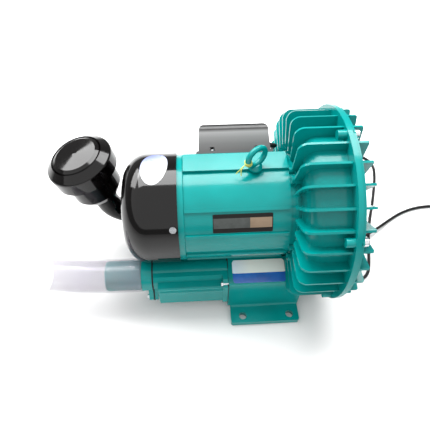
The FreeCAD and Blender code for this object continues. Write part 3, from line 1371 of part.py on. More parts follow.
def intake_elbow():
    """Return the elbow: socket over the nipple, bend and upright leg with a collar."""
    z = AXIS_Z - PORT_DROP
    socket = rod_x(ELBOW_SOCKET_R, ELBOW_SOCKET_X0, COLLAR_X0 - SEAT, PORT_Y, z)
    taper = Part.makeCone(ELBOW_R - 0.5, ELBOW_SOCKET_R, 7, Vector(ELBOW_SOCKET_X0 - 7, PORT_Y, z), X_AXIS)
    top = AXIS_Z + FILTER_FLOOR_Z
    collar = lean(rod_z(NECK_COLLAR_R, top - NECK_COLLAR_H, top, FILTER_X, PORT_Y))
    body = swept(elbow_path(), ELBOW_R).fuse([socket, taper, collar])
    pocket = rod_x(NIPPLE_R + SEAT / 3, INTAKE_NIPPLE_X0 - 1, COLLAR_X0, PORT_Y, z)
    funnel_r = ELBOW_R - ELBOW_WALL - 2
    funnel = Part.makeCone(funnel_r, NIPPLE_R, 10, Vector(INTAKE_NIPPLE_X0 - 11, PORT_Y, z), X_AXIS)
    exit_bore = lean(rod_z(ELBOW_R - ELBOW_WALL, top - 2, top + 1, FILTER_X, PORT_Y))
    return body.cut([swept(elbow_path(), ELBOW_R - ELBOW_WALL), pocket, funnel, exit_bore])


def filter_body():
    """Return the cup of the filter, with the air slots under its cap."""
    floor = AXIS_Z + FILTER_FLOOR_Z
    top = AXIS_Z + FILTER_BODY_TOP_Z
    cup = turned_z(
        [
            (ELBOW_R - ELBOW_WALL, floor),
            (FILTER_BODY_R - 8, floor),
            (FILTER_BODY_R, floor + 14),
            (FILTER_BODY_R, top),
            (FILTER_BODY_R - FILTER_WALL, top),
            (FILTER_BODY_R - FILTER_WALL, floor + 15),
            (FILTER_BODY_R - 9.5, floor + FILTER_WALL),
            (ELBOW_R - ELBOW_WALL, floor + FILTER_WALL),
        ],
        FILTER_X,
        PORT_Y,
        {1: 6.0},
    )
    windows = []
    for i in range(8):
        window = box(FILTER_X + FILTER_BODY_R - 6, FILTER_X + FILTER_BODY_R + 4, PORT_Y - 9, PORT_Y + 9,
                     top - 12, top - 4)
        window.rotate(Vector(FILTER_X, PORT_Y, 0), Z_AXIS, 45 * i)
        windows.append(window)
    return lean(cup.cut(windows))


def filter_element():
    """Return the pleated filter element."""
    floor = AXIS_Z + FILTER_FLOOR_Z + FILTER_WALL
    points = []
    pleats = 24
    for i in range(2 * pleats):
        a = math.pi * i / pleats
        r = PLEAT_OUT if i % 2 else PLEAT_IN
        points.append(Vector(FILTER_X + r * math.cos(a), PORT_Y + r * math.sin(a), floor))
    height = FILTER_BODY_TOP_Z - FILTER_FLOOR_Z - FILTER_WALL - 2
    sleeve = prism(points, Vector(0, 0, height))
    return lean(sleeve.cut(rod_z(PLEAT_BORE, floor - 1, floor + height + 1, FILTER_X, PORT_Y)))


def filter_cap():
    """Return the mushroom cap with its raised disc and groove."""
    z = AXIS_Z
    skirt_in = FILTER_CAP_R - FILTER_WALL
    roof = z + FILTER_RIM_Z
    seat = z + FILTER_BODY_TOP_Z
    cap = turned_z(
        [
            (0, z + FILTER_DOME_Z - FILTER_WALL),
            (FILTER_DISC_R - 8, z + FILTER_DOME_Z - FILTER_WALL - 2.5),
            (FILTER_BODY_R - 4, roof - 2),
            (FILTER_BODY_R - 4, seat),
            (FILTER_BODY_R + 1, seat),
            (FILTER_BODY_R + 1, roof - 3),
            (skirt_in - 2, roof - 9),
            (skirt_in, roof - 15),
            (skirt_in, z + FILTER_SKIRT_Z),
            (FILTER_CAP_R, z + FILTER_SKIRT_Z),
            (FILTER_CAP_R + 0.5, roof - 6),
            (FILTER_DISC_R + 3, roof + 5),
            (FILTER_DISC_R + 1, roof + 2),
            (FILTER_DISC_R, roof + 5),
            (FILTER_DISC_R - 6, z + FILTER_DOME_Z - 2),
            (0, z + FILTER_DOME_Z),
        ],
        FILTER_X,
        PORT_Y,
        {10: 5.0},
    )
    return lean(cap)


def main():
    """Build and export every piece."""
    save("rear_housing", rear_housing())
    block = finished_block()
    save("outlet_port_block", block)
    save("intake_port_block", mirrored(block))
    save("front_cover", front_cover())
    save("cover_gasket", cover_gasket())
    save("cover_bolts", cover_bolts())
    save("cover_washers", cover_washers())
    save("impeller", impeller())
    save("impeller_key", impeller_key())
    save("impeller_spacer", impeller_spacer())
    save("impeller_washer", impeller_washer())
    save("impeller_nut", impeller_nut())
    save("motor_shaft", motor_shaft())
    save("rotor_core", rotor_core())
    save("stator_core", stator_core())
    save("stator_windings", stator_windings())
    for name, x0 in (("front", FRONT_BEARING_X), ("rear", REAR_BEARING_X)):
        outer, inner, balls = bearing(x0)
        save(name + "_bearing_outer_ring", outer)
        save(name + "_bearing_inner_ring", inner)
        save(name + "_bearing_balls", balls)
    save("shaft_seal", shaft_seal())
    save("front_end_shield", front_end_shield())
    save("motor_bolts", motor_bolts())
    save("rear_end_shield", rear_end_shield())
    save("motor_barrel", motor_barrel())
    save("eye_bolt", eye_bolt())
    save("cooling_fan", cooling_fan())
    save("fan_retaining_ring", fan_ring())
    save("fan_cowl", fan_cowl())
    save("cowl_screws", cowl_screws())
    save("terminal_box_base", terminal_box_base())
    save("terminal_box_cover", terminal_box_cover())
    save("terminal_box_screws", terminal_box_screws())
    save("capacitors", capacitors())
    save("terminal_block", terminal_block())
    save("lead_grommet", lead_grommet())
    save("mains_lead", mains_lead())
    save("mains_lead_coil", lead_coil())
    save("mains_plug", mains_plug())
    for name, side, nipple_x0 in (("outlet", lambda s: s, NIPPLE_X0), ("intake", mirrored, INTAKE_NIPPLE_X0)):
        save(name + "_silencer", side(silencer_body()))
        save(name + "_silencer_foam", side(silencer_foam()))
        save(name + "_silencer_gasket", side(silencer_gasket()))
        save(name + "_silencer_screws", side(silencer_screws()))
        save(name + "_flange", side(port_flange(nipple_x0)))
        save(name + "_flange_gasket", side(port_gasket()))
        save(name + "_flange_screws", side(port_screws()))
    save("outlet_hose", outlet_hose())
    save("intake_elbow", intake_elbow())
    save("filter_body", filter_body())
    save("filter_element", filter_element())
    save("filter_cap", filter_cap())


main()
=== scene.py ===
"""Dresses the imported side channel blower: finishes, labels, lead, hose, floor, light and camera."""

from __future__ import annotations

import json
import logging
import math
from collections.abc import Callable, Iterable, Sequence
from dataclasses import dataclass
from enum import Enum

import bmesh
import bpy
from mathutils import Matrix, Vector

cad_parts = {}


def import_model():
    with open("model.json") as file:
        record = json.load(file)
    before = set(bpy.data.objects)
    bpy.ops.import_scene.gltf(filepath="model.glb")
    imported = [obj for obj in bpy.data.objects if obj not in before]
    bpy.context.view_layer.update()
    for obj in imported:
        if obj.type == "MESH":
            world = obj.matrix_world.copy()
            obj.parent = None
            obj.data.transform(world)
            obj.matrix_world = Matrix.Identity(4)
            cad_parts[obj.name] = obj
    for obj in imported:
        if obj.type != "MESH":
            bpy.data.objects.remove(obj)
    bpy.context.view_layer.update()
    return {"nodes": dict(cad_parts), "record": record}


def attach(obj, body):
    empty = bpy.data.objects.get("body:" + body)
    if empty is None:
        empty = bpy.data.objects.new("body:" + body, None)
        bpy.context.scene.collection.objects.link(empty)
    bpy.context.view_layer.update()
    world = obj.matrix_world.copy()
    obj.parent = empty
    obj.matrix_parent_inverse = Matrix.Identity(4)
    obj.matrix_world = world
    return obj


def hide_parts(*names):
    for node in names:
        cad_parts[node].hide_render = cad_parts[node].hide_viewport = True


LOG = logging.getLogger("side_channel_blower")
MM = 0.001
AXIS_Z = 0.172
CURVE_ORDER = 3
DRIFT_RANGE = (0.35, 0.65)
GRAIN_RANGE = (0.3, 0.7)
BUMP_STRENGTH = 0.6
COAT_ROUGHNESS = 0.12
SMOOTHEST = 0.02
MIX_FIRST, MIX_SECOND, MIX_RESULT = 6, 7, 2
Point = tuple[float, float, float]
Outline = Callable[[float, float], tuple[float, float]]
PlaceOnSurface = Callable[[float, float, float], Vector]


class Body(str, Enum):
    """CAD bodies that pieces of the scene ride on."""

    STATOR = "stator"


class Slot(str, Enum):
    """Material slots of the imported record."""

    ENAMEL = "teal_enamel"
    SHELL = "black_shell"
    BOX = "box_black"
    BRIGHT = "bright_steel"
    MACHINED = "machined_steel"
    CORE = "core_steel"
    COPPER = "copper_winding"
    CAST = "cast_aluminium"
    GASKET = "gasket_black"
    FOAM = "foam_grey"
    LEAD = "lead_black"
    HOSE = "hose_clear"
    PAPER = "paper_filter"
    FAN = "fan_grey"
    CAN = "can_aluminium"
    TERMINAL = "terminal_white"


def linear(colour: str) -> tuple[float, float, float, float]:
    """Convert an sRGB hex colour.

    Args:
        colour: Six hex digits, with or without a leading hash.

    Returns:
        The linear colour with alpha 1.
    """
    digits = colour.lstrip("#")
    channels = [int(digits[i : i + 2], 16) / 255 for i in (0, 2, 4)]
    values = [c / 12.92 if c <= 0.04045 else ((c + 0.055) / 1.055) ** 2.4 for c in channels]
    return (values[0], values[1], values[2], 1.0)


def per_metre(size_mm: float) -> float:
    """Turn the size of a pattern into a texture scale.

    Args:
        size_mm: Size of one feature in millimetres.

    Returns:
        Features per metre.
    """
    return 1000.0 / size_mm


@dataclass(frozen=True)
class Finish:
    """A surface finish with its grain, tone and wear.

    Attributes:
        name: Name of the material.
        colour: Main colour, sRGB hex.
        second: Colour that the main one drifts towards, sRGB hex.
        roughness: Middle roughness.
        spread: How far the roughness varies either way.
        drift_mm: Size of the patches in which the colour varies.
        grain_mm: Size of the surface grain.
        relief_mm: Height of the grain.
        metallic: 1 for bare metal.
        coat: Weight of a clear coat.
        specular: Strength of the reflection, 0.5 for common plastic and paint.
        alpha: Opacity.
        stretch: Stretches the grain along X, Y or Z for brushed or turned metal.
        fade: Two points between which the main colour turns into the second, in metres.
        tones: Colours along the fade where it has more than two, each with its share of the way.
    """

    name: str
    colour: str
    second: str
    roughness: float
    spread: float = 0.06
    drift_mm: float = 40.0
    grain_mm: float = 1.5
    relief_mm: float = 0.02
    metallic: float = 0.0
    coat: float = 0.0
    specular: float = 0.5
    alpha: float = 1.0
    stretch: Point = (1.0, 1.0, 1.0)
    fade: tuple[Point, Point] | None = None
    tones: tuple[tuple[float, str], ...] = ()


class Graph:
    """A material's node tree, with short calls for adding and joining nodes."""

    def __init__(self, name: str) -> None:
        """Start an empty node material.

        Args:
            name: Name of the material.
        """
        self.material = bpy.data.materials.new(name)
        self.material.use_nodes = True
        self.tree = self.material.node_tree
        self.tree.nodes.clear()

    def add(self, kind: str, settings: dict | None = None, **inputs: object) -> bpy.types.Node:
        """Add a node.

        Args:
            kind: Node type without the ShaderNode prefix.
            settings: Attributes of the node.
            **inputs: Socket values or output sockets, with spaces in names as underscores.

        Returns:
            The new node.
        """
        node = self.tree.nodes.new("ShaderNode" + kind)
        for key, value in (settings or {}).items():
            setattr(node, key, value)
        for key, value in inputs.items():
            socket = node.inputs[key.replace("_", " ")]
            if isinstance(value, bpy.types.NodeSocket):
                self.tree.links.new(value, socket)
            else:
                socket.default_value = value
        return node


def add_paint(graph: Graph, finish: Finish, place: bpy.types.NodeSocket) -> bpy.types.NodeSocket:
    """Add the nodes that give a finish its colour.

    Args:
        graph: The material's node tree.
        finish: The finish.
        place: Socket with the place on the object.

    Returns:
        The socket with the colour.
    """
    drift = graph.add("TexNoise", Vector=place, Scale=per_metre(finish.drift_mm), Detail=3.0)
    low, high = DRIFT_RANGE
    tone = graph.add("MapRange", Value=drift.outputs["Fac"], From_Min=low, From_Max=high)
    if finish.fade:
        start, end = (Vector(point) for point in finish.fade)
        aim = (end - start) / (end - start).length_squared
        along = graph.add("VectorMath", {"operation": "DOT_PRODUCT"})
        graph.tree.links.new(place, along.inputs[0])
        along.inputs[1].default_value = aim
        tone = graph.add(
            "MapRange", Value=along.outputs["Value"], From_Min=start.dot(aim), From_Max=end.dot(aim)
        )
    if finish.tones:
        colour = graph.add("ValToRGB", Fac=tone.outputs["Result"])
        stops = colour.color_ramp.elements
        while len(stops) < len(finish.tones):
            stops.new(0.5)
        for stop, (share, shade) in zip(stops, finish.tones):
            stop.position = share
            stop.color = linear(shade)
        return colour.outputs["Color"]
    colour = graph.add("Mix", {"data_type": "RGBA"}, Factor=tone.outputs["Result"])
    colour.inputs[MIX_FIRST].default_value = linear(finish.colour)
    colour.inputs[MIX_SECOND].default_value = linear(finish.second)
    return colour.outputs[MIX_RESULT]


def make_material(finish: Finish) -> bpy.types.Material:
    """Build the node material of a finish.

    Args:
        finish: The finish.

    Returns:
        The material.
    """
    graph = Graph(finish.name)
    place = graph.add("TexCoord").outputs["Object"]
    grain_place = graph.add("Mapping", Vector=place, Scale=finish.stretch).outputs["Vector"]
    grain = graph.add("TexNoise", Vector=grain_place, Scale=per_metre(finish.grain_mm), Detail=2.0)
    low, high = GRAIN_RANGE
    gloss = graph.add(
        "MapRange",
        Value=grain.outputs["Fac"],
        From_Min=low,
        From_Max=high,
        To_Min=max(SMOOTHEST, finish.roughness - finish.spread),
        To_Max=finish.roughness + finish.spread,
    )
    height = finish.relief_mm * MM
    bump = graph.add("Bump", Height=grain.outputs["Fac"], Distance=height, Strength=BUMP_STRENGTH)
    shader = graph.add(
        "BsdfPrincipled",
        Base_Color=add_paint(graph, finish, place),
        Roughness=gloss.outputs["Result"],
        Normal=bump.outputs["Normal"],
    )
    shader.inputs["Metallic"].default_value = finish.metallic
    shader.inputs["Specular IOR Level"].default_value = finish.specular
    shader.inputs["Coat Weight"].default_value = finish.coat
    shader.inputs["Coat Roughness"].default_value = COAT_ROUGHNESS
    shader.inputs["Alpha"].default_value = finish.alpha
    output = graph.add("OutputMaterial")
    graph.tree.links.new(shader.outputs["BSDF"], output.inputs["Surface"])
    graph.material.diffuse_color = linear(finish.colour)
    return graph.material


# Painted reflection on the box's black wall, paler towards its rounded top edge, and painted shade along
# that edge, which is dark.
BOX_PAINTED_REFLECTION_TONES = (
    (0.0, "575757"),
    (0.26, "626262"),
    (0.5, "757575"),
    (0.69, "8B8B8B"),
    (0.8, "0E0E0E"),
    (1.0, "0E0E0E"),
)
FINISHES: dict[Slot, Finish] = {
    Slot.ENAMEL: Finish("teal_enamel_look", "00827F", "007A77", 0.17, 0.03, 70, 9.0, 0.003, specular=0.28),
    Slot.SHELL: Finish("black_gloss_look", "030202", "040303", 0.09, 0.02, 60, 12.0, 0.006, specular=0.38),
    # The box's fade paints a reflection up its wall and painted shade along its rounded top edge.
    Slot.BOX: Finish("black_satin_painted_reflection_look", "5C5C5C", "0E0E0E", 0.36, 0.04, 60, 6.0, 0.004,
                     fade=((0.0, 0.0665, 0.2385), (0.0, 0.0962, 0.2682)), tones=BOX_PAINTED_REFLECTION_TONES),
    Slot.BRIGHT: Finish("zinc_look", "DCDEE0", "C2C6CA", 0.26, 0.06, 8, 0.6, 0.01, metallic=1.0),
    Slot.MACHINED: Finish("machined_look", "B6B8BC", "9C9FA4", 0.30, 0.08, 10, 0.5, 0.01, metallic=1.0),
    Slot.CORE: Finish("lamination_look", "5A5C60", "46484C", 0.45, 0.08, 12, 0.5, 0.02, metallic=0.9,
                      stretch=(8.0, 1.0, 1.0)),
    Slot.COPPER: Finish("winding_look", "9A4A1C", "7E3813", 0.35, 0.08, 14, 1.0, 0.25, metallic=0.4),
    Slot.CAST: Finish("cast_look", "BFC1C4", "A9ABAF", 0.45, 0.08, 20, 0.9, 0.04, metallic=1.0),
    Slot.GASKET: Finish("gasket_look", "0C0C0C", "131313", 0.75, 0.05, 12, 0.6, 0.02, specular=0.3),
    Slot.FOAM: Finish("foam_look", "2C2C2F", "1E1E20", 0.95, 0.03, 10, 1.6, 0.8),
    Slot.LEAD: Finish("lead_look", "070708", "0C0C0D", 0.48, 0.06, 25, 0.5, 0.01, specular=0.22),
    Slot.HOSE: Finish("hose_look", "948F9E", "99969D", 0.20, 0.05, 60, 20.0, 0.03, alpha=0.29),
    Slot.PAPER: Finish("paper_look", "D6C592", "C6B37D", 0.85, 0.05, 15, 0.6, 0.03),
    Slot.FAN: Finish("fan_look", "2B2C2E", "343538", 0.45, 0.06, 30, 0.8, 0.02),
    Slot.CAN: Finish("can_look", "CFD1D4", "BDC0C4", 0.25, 0.06, 20, 0.6, 0.01, metallic=1.0),
    Slot.TERMINAL: Finish("terminal_look", "E4E2DA", "D8D6CD", 0.45, 0.05, 15, 0.8, 0.01),
}
LABEL_WHITE = Finish("label_white_look", "F6F5EE", "DDE8F4", 0.22, 0.04, 25, 6.0, 0.003, coat=0.4,
                     fade=((-0.030, 0.0, 0.0), (-0.062, 0.0, 0.0)))
LABEL_BLUE = Finish("label_blue_look", "2766BC", "1F58A8", 0.22, 0.04, 25, 6.0, 0.003, coat=0.4)
PLATE_BLACK = Finish("plate_black_look", "0A0806", "0E0C09", 0.40, 0.05, 20, 3.0, 0.005, specular=0.25)
PLATE_GREY = Finish("plate_grey_look", "484C4A", "404442", 0.36, 0.05, 9, 3.0, 0.005, metallic=0.3)
PLATE_TAN = Finish("plate_tan_look", "8C7863", "84705B", 0.36, 0.05, 20, 3.0, 0.005, metallic=0.3)
STICKER = Finish("sticker_look", "D4D6D8", "3F53A0", 0.30, 0.04, 12, 6.0, 0.003, specular=0.3,
                 fade=((-0.178, -0.004, 0.0), (-0.198, 0.044, 0.0)))
STRING = Finish("string_look", "C4CC72", "B2BC62", 0.8, 0.05, 3, 0.4, 0.1, specular=0.2)
FLOOR = Finish("floor_look", "E2E2E2", "E0E0E0", 0.65, 0.04, 500, 8.0, 0.0)


def link(name: str, data: bpy.types.ID) -> bpy.types.Object:
    """Make an object from its data and add it to the scene.

    Args:
        name: Name of the object.
        data: Mesh or curve.

    Returns:
        The object.
    """
    piece = bpy.data.objects.new(name, data)
    bpy.context.scene.collection.objects.link(piece)
    return piece


def mesh_piece(
    name: str, verts: Sequence[Vector], faces: Iterable[Sequence[int]], smooth: bool = True
) -> bpy.types.Object:
    """Make a mesh object.

    Args:
        name: Name of the object.
        verts: Vertices in metres.
        faces: Vertex numbers of each face.
        smooth: Whether the faces are shaded smooth.

    Returns:
        The object.
    """
    mesh = bpy.data.meshes.new(name)
    mesh.from_pydata([tuple(v) for v in verts], [], [tuple(f) for f in faces])
    mesh.validate()
    work = bmesh.new()
    work.from_mesh(mesh)
    bmesh.ops.recalc_face_normals(work, faces=work.faces)
    work.to_mesh(mesh)
    work.free()
    for face in mesh.polygons:
        face.use_smooth = smooth
    return link(name, mesh)


def smooth_by_angle(piece: bpy.types.Object, degrees: float = 32.0) -> None:
    """Shade a CAD node smooth, with sharp edges where its faces meet at a steep angle.

    Args:
        piece: The node.
        degrees: Steepest angle that is still shaded smooth.
    """
    for face in piece.data.polygons:
        face.use_smooth = True
    piece.data.set_sharp_from_angle(angle=math.radians(degrees))


@dataclass
class SurfacePatch:
    """A thin sheet laid on a surface: a grid of points with a thickness.

    Attributes:
        name: Name of the piece.
        columns: Number of grid steps along its length.
        rows: Number of grid steps across.
        thickness_mm: Thickness of the sheet.
        lift_mm: Gap between the surface and the sheet.
    """

    name: str
    columns: int
    rows: int
    thickness_mm: float = 0.25
    lift_mm: float = 0.05

    def build(
        self, place: PlaceOnSurface, inside: Outline, finish: Finish, slot: Slot
    ) -> bpy.types.Object:
        """Build the sheet.

        Args:
            place: Gives the point for u and v from 0 to 1, and a height in millimetres.
            inside: Moves a grid point of the unit square onto the sheet's outline.
            finish: Finish of the sheet.
            slot: Slot of the record; not used.

        Returns:
            The sheet.
        """
        verts: list[Vector] = []
        for height in (self.lift_mm, self.lift_mm + self.thickness_mm):
            for i in range(self.columns + 1):
                for j in range(self.rows + 1):
                    u, v = inside(i / self.columns, j / self.rows)
                    verts.append(place(u, v, height))
        row = self.rows + 1
        layer = (self.columns + 1) * row
        faces: list[tuple[int, ...]] = []
        for i in range(self.columns):
            for j in range(self.rows):
                a = i * row + j
                faces.append((a, a + 1, a + row + 1, a + row))
                faces.append((layer + a, layer + a + row, layer + a + row + 1, layer + a + 1))
        rim = [i * row for i in range(self.columns)]
        rim += [self.columns * row + j for j in range(self.rows)]
        rim += [i * row + self.rows for i in range(self.columns, 0, -1)]
        rim += list(range(self.rows, 0, -1))
        for a, b in zip(rim, rim[1:] + rim[:1]):
            faces.append((a, b, layer + b, layer + a))
        piece = mesh_piece(self.name, verts, faces)
        smooth_by_angle(piece, 50)
        piece.data.materials.append(make_material(finish))
        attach(piece, Body.STATOR.value)
        return piece


def rounded(corner_u: float, corner_v: float) -> Outline:
    """Return an outline rule: a rectangle with rounded corners.

    Args:
        corner_u: Corner radius as a share of the length.
        corner_v: Corner radius as a share of the width.

    Returns:
        A function from the unit square to the rounded rectangle.
    """

    def shape(u: float, v: float) -> tuple[float, float]:
        """Draw the sides in near the two ends."""
        edge = min(u, 1 - u)
        inset = 0.0
        if edge < corner_u:
            inset = corner_v * (1 - math.sqrt(max(0.0, 1 - (1 - edge / corner_u) ** 2)))
        return u, inset + v * (1 - 2 * inset)

    return shape


def oval(u: float, v: float) -> tuple[float, float]:
    """Move a grid point of the unit square onto an ellipse.

    Args:
        u: Place along the first side, 0 to 1.
        v: Place along the second side, 0 to 1.

    Returns:
        The place on the ellipse that fills the square.
    """
    a, b = 2 * u - 1, 2 * v - 1
    x = a * math.sqrt(1 - b * b / 2)
    y = b * math.sqrt(1 - a * a / 2)
    return (x + 1) / 2, (y + 1) / 2


def window(
    low_u: float, high_u: float, low_v: float, high_v: float, whole: Outline | None = None
) -> Outline:
    """Return an outline rule: a part of another outline.

    Args:
        low_u: Where the part starts along the length, 0 to 1.
        high_u: Where it ends.
        low_v: Where the part starts across, 0 to 1.
        high_v: Where it ends.
        whole: The outline that it is a part of, or none for the plain square.

    Returns:
        A function from the unit square to the part.
    """

    def shape(u: float, v: float) -> tuple[float, float]:
        """Move a point of the unit square into the part."""
        a, b = low_u + u * (high_u - low_u), low_v + v * (high_v - low_v)
        return whole(a, b) if whole else (a, b)

    return shape


@dataclass
class PortLabel:
    """The bare label on top of the outlet's port block: a light field over a blue band.

    Attributes:
        x_mm: Ends of the label along the motor's axis.
        y_mm: Its front and back edge.
        band: Share of the width that the blue band takes.
        edge_z_mm: Height of the block's front edge from the motor's axis.
        top_z_mm: Height of the block where it meets the housing.
        edge_y_mm: Where the block's front edge lies.
        top_y_mm: Where the block meets the housing.
    """

    x_mm: tuple[float, float] = (-62.0, 30.0)
    y_mm: tuple[float, float] = (-110.0, -68.5)
    band: float = 0.42
    edge_z_mm: float = -78.0
    top_z_mm: float = -70.0
    edge_y_mm: float = -112.0
    top_y_mm: float = -64.0

    def point(self, u: float, v: float, height: float) -> Vector:
        """Give a point on the sloping top of the block.

        Args:
            u: Along the motor's axis, 0 to 1.
            v: From the front edge to the back edge, 0 to 1.
            height: Height over the casting in millimetres.

        Returns:
            The point in metres.
        """
        x = self.x_mm[0] + u * (self.x_mm[1] - self.x_mm[0])
        y = self.y_mm[0] + v * (self.y_mm[1] - self.y_mm[0])
        slope = (self.top_z_mm - self.edge_z_mm) / (self.top_y_mm - self.edge_y_mm)
        z = self.edge_z_mm + (y - self.edge_y_mm) * slope
        return Vector((x * MM, y * MM, AXIS_Z + (z + height) * MM))

    def build(self) -> None:
        """Build the two fields of the label."""
        whole = rounded(0.05, 0.1)
        band = window(0.0, 1.0, 0.0, self.band, whole)
        field = window(0.0, 1.0, self.band, 1.0, whole)
        SurfacePatch("port_label_band", 40, 6, 0.2).build(self.point, band, LABEL_BLUE, Slot.TERMINAL)
        SurfacePatch("port_label_field", 40, 6, 0.2).build(self.point, field, LABEL_WHITE, Slot.TERMINAL)


@dataclass
class BarrelPlate:
    """The bare nameplate on the barrel: a grey and a tan field between two black bands.

    Attributes:
        x_mm: Ends of the plate along the motor's axis.
        angle: Its lower and upper edge round the barrel, in degrees up from the front.
        radius_mm: Radius of the barrel.
        split: Share of the length at which the tan field follows the grey one.
        field: Shares of the width at which the fields start and end.
    """

    x_mm: tuple[float, float] = (-96.0, -3.0)
    angle: tuple[float, float] = (23.5, 43.5)
    radius_mm: float = 88.0
    split: float = 0.62
    field: tuple[float, float] = (0.25, 0.79)

    def point(self, u: float, v: float, height: float) -> Vector:
        """Give a point on the barrel.

        Args:
            u: Along the motor's axis, 0 to 1.
            v: Round the barrel from its lower to its upper edge, 0 to 1.
            height: Height over the barrel in millimetres.

        Returns:
            The point in metres.
        """
        a = math.radians(self.angle[0] + v * (self.angle[1] - self.angle[0]))
        r = (self.radius_mm + height) * MM
        x = self.x_mm[0] + u * (self.x_mm[1] - self.x_mm[0])
        return Vector((x * MM, -r * math.cos(a), AXIS_Z + r * math.sin(a)))

    def build(self) -> None:
        """Build the plate and its two fields."""
        grey = window(0.012, self.split, *self.field)
        tan = window(self.split, 0.985, *self.field)
        SurfacePatch("nameplate", 40, 10, 0.3).build(self.point, rounded(0.006, 0.02), PLATE_BLACK, Slot.BOX)
        SurfacePatch("nameplate_grey", 30, 6, 0.4).build(self.point, grey, PLATE_GREY, Slot.MACHINED)
        SurfacePatch("nameplate_tan", 20, 6, 0.4).build(self.point, tan, PLATE_TAN, Slot.MACHINED)


@dataclass
class CowlSticker:
    """The bare oval sticker on the fan cowl.

    Attributes:
        x_mm: Middle of the sticker along the motor's axis.
        angle: Its middle round the cowl, in degrees up from the front.
        half_x_mm: Half its size along the axis.
        half_arc_mm: Half its size round the cowl.
        radius_mm: Radius of the cowl.
        tilt: Turn of the oval on the cowl in degrees.
        corner_mm: Radius of the cowl's rounded end.
        corner_x_mm: Where the cowl's rounded end starts.
    """

    x_mm: float = -184.0
    angle: float = 97.0
    half_x_mm: float = 21.0
    half_arc_mm: float = 37.0
    radius_mm: float = 93.5
    tilt: float = 6.0
    corner_mm: float = 40.0
    corner_x_mm: float = -199.0

    def point(self, u: float, v: float, height: float) -> Vector:
        """Give a point on the cowl.

        Args:
            u: Along the motor's axis, 0 to 1.
            v: Round the cowl, 0 to 1.
            height: Height over the cowl in millimetres.

        Returns:
            The point in metres.
        """
        along, around = (2 * u - 1) * self.half_x_mm, (2 * v - 1) * self.half_arc_mm
        lean = math.radians(self.tilt)
        x = self.x_mm + along * math.cos(lean) + around * math.sin(lean)
        arc = around * math.cos(lean) - along * math.sin(lean)
        radius = self.radius_mm
        past = self.corner_x_mm - x
        if past > 0:
            radius -= self.corner_mm - math.sqrt(self.corner_mm**2 - past**2)
        a = math.radians(self.angle) + arc / self.radius_mm
        r = (radius + height) * MM
        return Vector((x * MM, -r * math.cos(a), AXIS_Z + r * math.sin(a)))

    def build(self) -> None:
        """Build the sticker."""
        SurfacePatch("cowl_sticker", 24, 24, 0.2).build(self.point, oval, STICKER, Slot.TERMINAL)


def nurbs(name: str, points: Sequence[Point], radius: float) -> bpy.types.Object:
    """Make a round cord along control points.

    Args:
        name: Name of the piece.
        points: Control points in metres.
        radius: Radius in metres.

    Returns:
        The curve object.
    """
    curve = bpy.data.curves.new(name, "CURVE")
    curve.dimensions = "3D"
    spline = curve.splines.new("NURBS")
    spline.points.add(len(points) - 1)
    for point, place in zip(spline.points, points):
        point.co = (*place, 1.0)
    spline.order_u = CURVE_ORDER
    spline.use_endpoint_u = True
    curve.resolution_u = 10
    curve.bevel_depth = radius
    curve.bevel_resolution = 5
    return link(name, curve)


def line_of(points: Sequence[Point]) -> list[Vector]:
    """Read the smooth line that a cord follows.

    Args:
        points: Control points in metres.

    Returns:
        Points on the spline.
    """
    guide = nurbs("guide", points, 0.0)
    mesh = bpy.data.meshes.new_from_object(guide)
    line = [vertex.co.copy() for vertex in mesh.vertices]
    bpy.data.meshes.remove(mesh)
    bpy.data.objects.remove(guide)
    return line


def tapered_tube(
    name: str, line: Sequence[Vector], radii: Sequence[float], sides: int = 24
) -> bpy.types.Object:
    """Make a tube of changing radius along a line, closed at both ends.

    Args:
        name: Name of the piece.
        line: Points of the line.
        radii: Radius at each point, in metres.
        sides: Number of sides of the tube.

    Returns:
        The mesh object.
    """
    verts: list[Vector] = []
    for i, (centre, radius) in enumerate(zip(line, radii)):
        ahead = line[min(i + 1, len(line) - 1)] - line[max(i - 1, 0)]
        turn = ahead.to_track_quat("Z", "Y")
        for k in range(sides):
            a = 2 * math.pi * k / sides
            verts.append(centre + turn @ Vector((radius * math.cos(a), radius * math.sin(a), 0)))
    faces: list[tuple[int, ...]] = []
    for i in range(len(line) - 1):
        for k in range(sides):
            a, b = i * sides + k, i * sides + (k + 1) % sides
            faces.append((a, b, b + sides, a + sides))
    faces.append(tuple(range(sides)))
    faces.append(tuple((len(line) - 1) * sides + k for k in range(sides)))
    return mesh_piece(name, verts, faces)


LEAD_ROUTE: tuple[Point, ...] = (
    (-0.0199, 0.0589, 0.2559),
    (0.0217, 0.0704, 0.2436),
    (0.0217, 0.1040, 0.2070),
    (0.0220, 0.1180, 0.1600),
    (0.0220, 0.1260, 0.1050),
    (0.0240, 0.1350, 0.0600),
    (0.0310, 0.1520, 0.0240),
    (0.0500, 0.1800, 0.0045),
    (0.0840, 0.2080, 0.0031),
    (0.1240, 0.2340, 0.0031),
    (0.1680, 0.2550, 0.0031),
    (0.2140, 0.2700, 0.0031),
    (0.2580, 0.2740, 0.0031),
    (0.2940, 0.2640, 0.0031),
    (0.3080, 0.2360, 0.0031),
    (0.3010, 0.2000, 0.0031),
    (0.2890, 0.1650, 0.0031),
    (0.2730, 0.1200, 0.0031),
    (0.2500, 0.0660, 0.0031),
    (0.2350, 0.0140, 0.0031),
    (0.2250, -0.0300, 0.0031),
    (0.2140, -0.0590, 0.0031),
    (0.1870, -0.0710, 0.0031),
    (0.1600, -0.0590, 0.0031),
    (0.1490, -0.0300, 0.0031),
    (0.1600, -0.0010, 0.0031),
    (0.1900, 0.0170, 0.0033),
    (0.2260, 0.0290, 0.0102),
    (0.2600, 0.0470, 0.0102),
    (0.2900, 0.0690, 0.0034),
    (0.3260, 0.0910, 0.0031),
    (0.3660, 0.1050, 0.0031),
    (0.4100, 0.1080, 0.0031),
    (0.4584, 0.1008, 0.0031),
)
